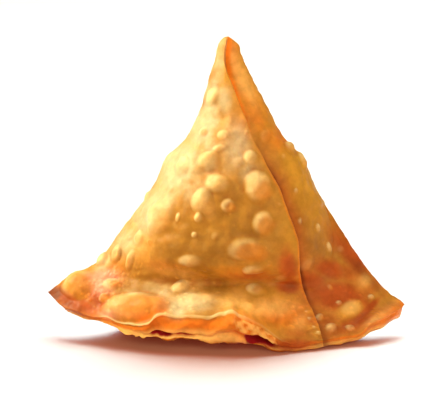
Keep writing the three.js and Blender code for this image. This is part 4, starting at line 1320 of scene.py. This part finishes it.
class SAMOSA_OT_stage(bpy.types.Operator):
    """Makes the floor, the lights and the camera"""

    bl_idname = "samosa.stage"
    bl_label = "Make Stage"

    def execute(self, context):
        settings = context.scene.samosa_stage
        shift = frame_shift(crust_skin()[0])
        apex = Vector((APEX + shift) * MM)
        self.make_camera(context, settings, apex)
        self.make_lamps(settings)
        self.make_sky(settings)
        self.make_air(context, settings)
        self.make_floor(context, settings)
        context.scene.view_settings.view_transform = "Standard"
        return {"FINISHED"}

    def make_camera(self, context, settings, apex):
        """Looks down on the samosa from the front, with the apex at its place in the view."""
        data = bpy.data.cameras.new("Camera")
        camera = bpy.data.objects.new("Camera", data)
        context.scene.collection.objects.link(camera)
        context.scene.camera = camera
        tilt = settings.elevation
        down = Vector((0, -math.sin(tilt), -math.cos(tilt)))
        back = Vector((0, -math.cos(tilt), math.sin(tilt)))
        sideways = (VIEW[0] / 2 - APEX_PIXEL[0]) * PIXEL * MM
        drop = (VIEW[1] / 2 - APEX_PIXEL[1]) * PIXEL * MM
        camera.location = apex + Vector((sideways, 0, 0)) + drop * down + settings.distance * back
        camera.rotation_euler = (-back).to_track_quat("-Z", "Y").to_euler()
        data.sensor_width = SENSOR_WIDTH
        data.lens = SENSOR_WIDTH * settings.distance / (VIEW[0] * PIXEL * MM)
        data.clip_end = FARTHEST_SEEN

    def make_lamps(self, settings):
        """For the crust: a strong soft light at the left, a weak one in front and one above."""
        for name, place, size, power, colour in (
                ("Key", (-0.58, -0.02, 0.46), 0.2, settings.key, (1, 0.96, 0.86)),
                ("Fill", (0.26, -0.6, 0.34), 0.4, settings.fill, (1, 0.9, 0.78)),
                ("Top", (0, 0.06, 0.9), 0.5, settings.top, (1, 0.97, 0.92))):
            light = new_light(name, "AREA", power, colour, FOR_CRUST)
            light.data.size = size
            light.location = place
            light.rotation_euler = (Vector(LAMPS_AIM) - light.location).to_track_quat("-Z", "Y").to_euler()

    def make_sky(self, settings):
        """For the floor: wide lights behind and in front, a red one above, and a red sun without shadows."""
        for name, power, colour, size, turn, side in (
                ("Sky", settings.sky, (0.5, 1.62, 2.4), (1.2, 0.8), -26, 8),
                ("Wide sky", 0.64 * settings.sky, (0.6, 1.62, 2.4), (3, 1.6), -28, 8),
                ("Front sky", 0.4 * settings.sky, (0.95, 1.2, 1.05), (2, 0.8), 68, 0),
                ("Blush", 0.9 * settings.blush, (1, 0.1, 0.05), (3, 1.8), -18, 0)):
            light = new_light(name, "AREA", power, colour, FOR_FLOOR)
            light.data.shape = "RECTANGLE"
            light.data.size, light.data.size_y = size
            light.rotation_euler = (math.radians(turn), math.radians(side), 0)
            light.location = SKY_DISTANCE * (light.rotation_euler.to_matrix() @ Vector((0, 0, 1)))
        sun = new_light("Umbra", "SUN", settings.umbra, (1, 0.12, 0.05), FOR_FLOOR)
        sun.data.use_shadow = False

    def make_air(self, context, settings):
        """The light from all around."""
        world = bpy.data.worlds.new("Studio air")
        context.scene.world = world
        world.use_nodes = True
        graph = Graph(world.node_tree)
        air = graph.node("ShaderNodeBackground", None,
                         {"Color": (*settings.air, 1), "Strength": settings.haze})
        graph.node("ShaderNodeOutputWorld", None, {"Surface": air})

    def make_floor(self, context, settings):
        """A wide plane that the sky's lights take to white."""
        bpy.ops.mesh.primitive_plane_add(size=FLOOR_SIZE)
        floor = context.object
        floor.name = "Floor"
        floor.data.materials.append(studio_floor(settings))
        collection(FOR_FLOOR).objects.link(floor)


class SAMOSA_OT_crust(bpy.types.Operator):
    """Makes the crust, with its seam, hem and blisters"""

    bl_idname = "samosa.crust"
    bl_label = "Make Crust"

    def execute(self, context):
        settings = context.scene.samosa_crust
        places, faces, values = crust_skin()
        shift = frame_shift(places)
        values["bubbly"] = crowding(places)
        values.update(tints(places))
        crust = mesh_object("crust", places + shift, faces, values)
        blisters = self.blister_points(shift)
        grow(crust, blister_tree(), {
            "Blisters": blisters, "Pinhead Density": settings.pinheads, "Material": fried_dough(settings)})
        bpy.data.objects.remove(blisters)
        collection(FOR_CRUST).objects.link(crust)
        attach(crust, BODY)
        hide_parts(NODE)
        return {"FINISHED"}

    def blister_points(self, shift):
        """An object with a point for each blister, for the tree to read while the crust grows."""
        made = all_blisters()
        centres = np.array([blister["centre"] for blister in made]) + shift
        values = {name: np.array([blister[name] for blister in made])
                  for name in ("facing", "wide", "tall", "dent", "browned")}
        for name in ("half_width", "half_height", "lift"):
            values[name] = np.array([blister[name] for blister in made]) * MM
        return mesh_object("blister places", centres, (), values)


class SAMOSA_PT_panel(bpy.types.Panel):
    """Lists the samosa's pieces and their settings"""

    bl_label = "Fried Samosa"
    bl_idname = "SAMOSA_PT_panel"
    bl_space_type = "VIEW_3D"
    bl_region_type = "UI"
    bl_category = "Samosa"

    def draw(self, context):
        for operator, settings in (("samosa.stage", context.scene.samosa_stage),
                                   ("samosa.crust", context.scene.samosa_crust)):
            box = self.layout.box()
            box.operator(operator)
            for name in settings.__annotations__:
                box.prop(settings, name)


CLASSES = (CrustSettings, StageSettings, SAMOSA_OT_stage, SAMOSA_OT_crust, SAMOSA_PT_panel)


def register():
    for made in CLASSES:
        bpy.utils.register_class(made)
    bpy.types.Scene.samosa_crust = bpy.props.PointerProperty(type=CrustSettings)
    bpy.types.Scene.samosa_stage = bpy.props.PointerProperty(type=StageSettings)


def unregister():
    del bpy.types.Scene.samosa_stage
    del bpy.types.Scene.samosa_crust
    for made in reversed(CLASSES):
        bpy.utils.unregister_class(made)


def main():
    """Makes every piece in order."""
    register()
    bpy.ops.samosa.stage()
    bpy.ops.samosa.crust()
    bpy.context.view_layer.update()


if __name__ == "__main__":
    main()
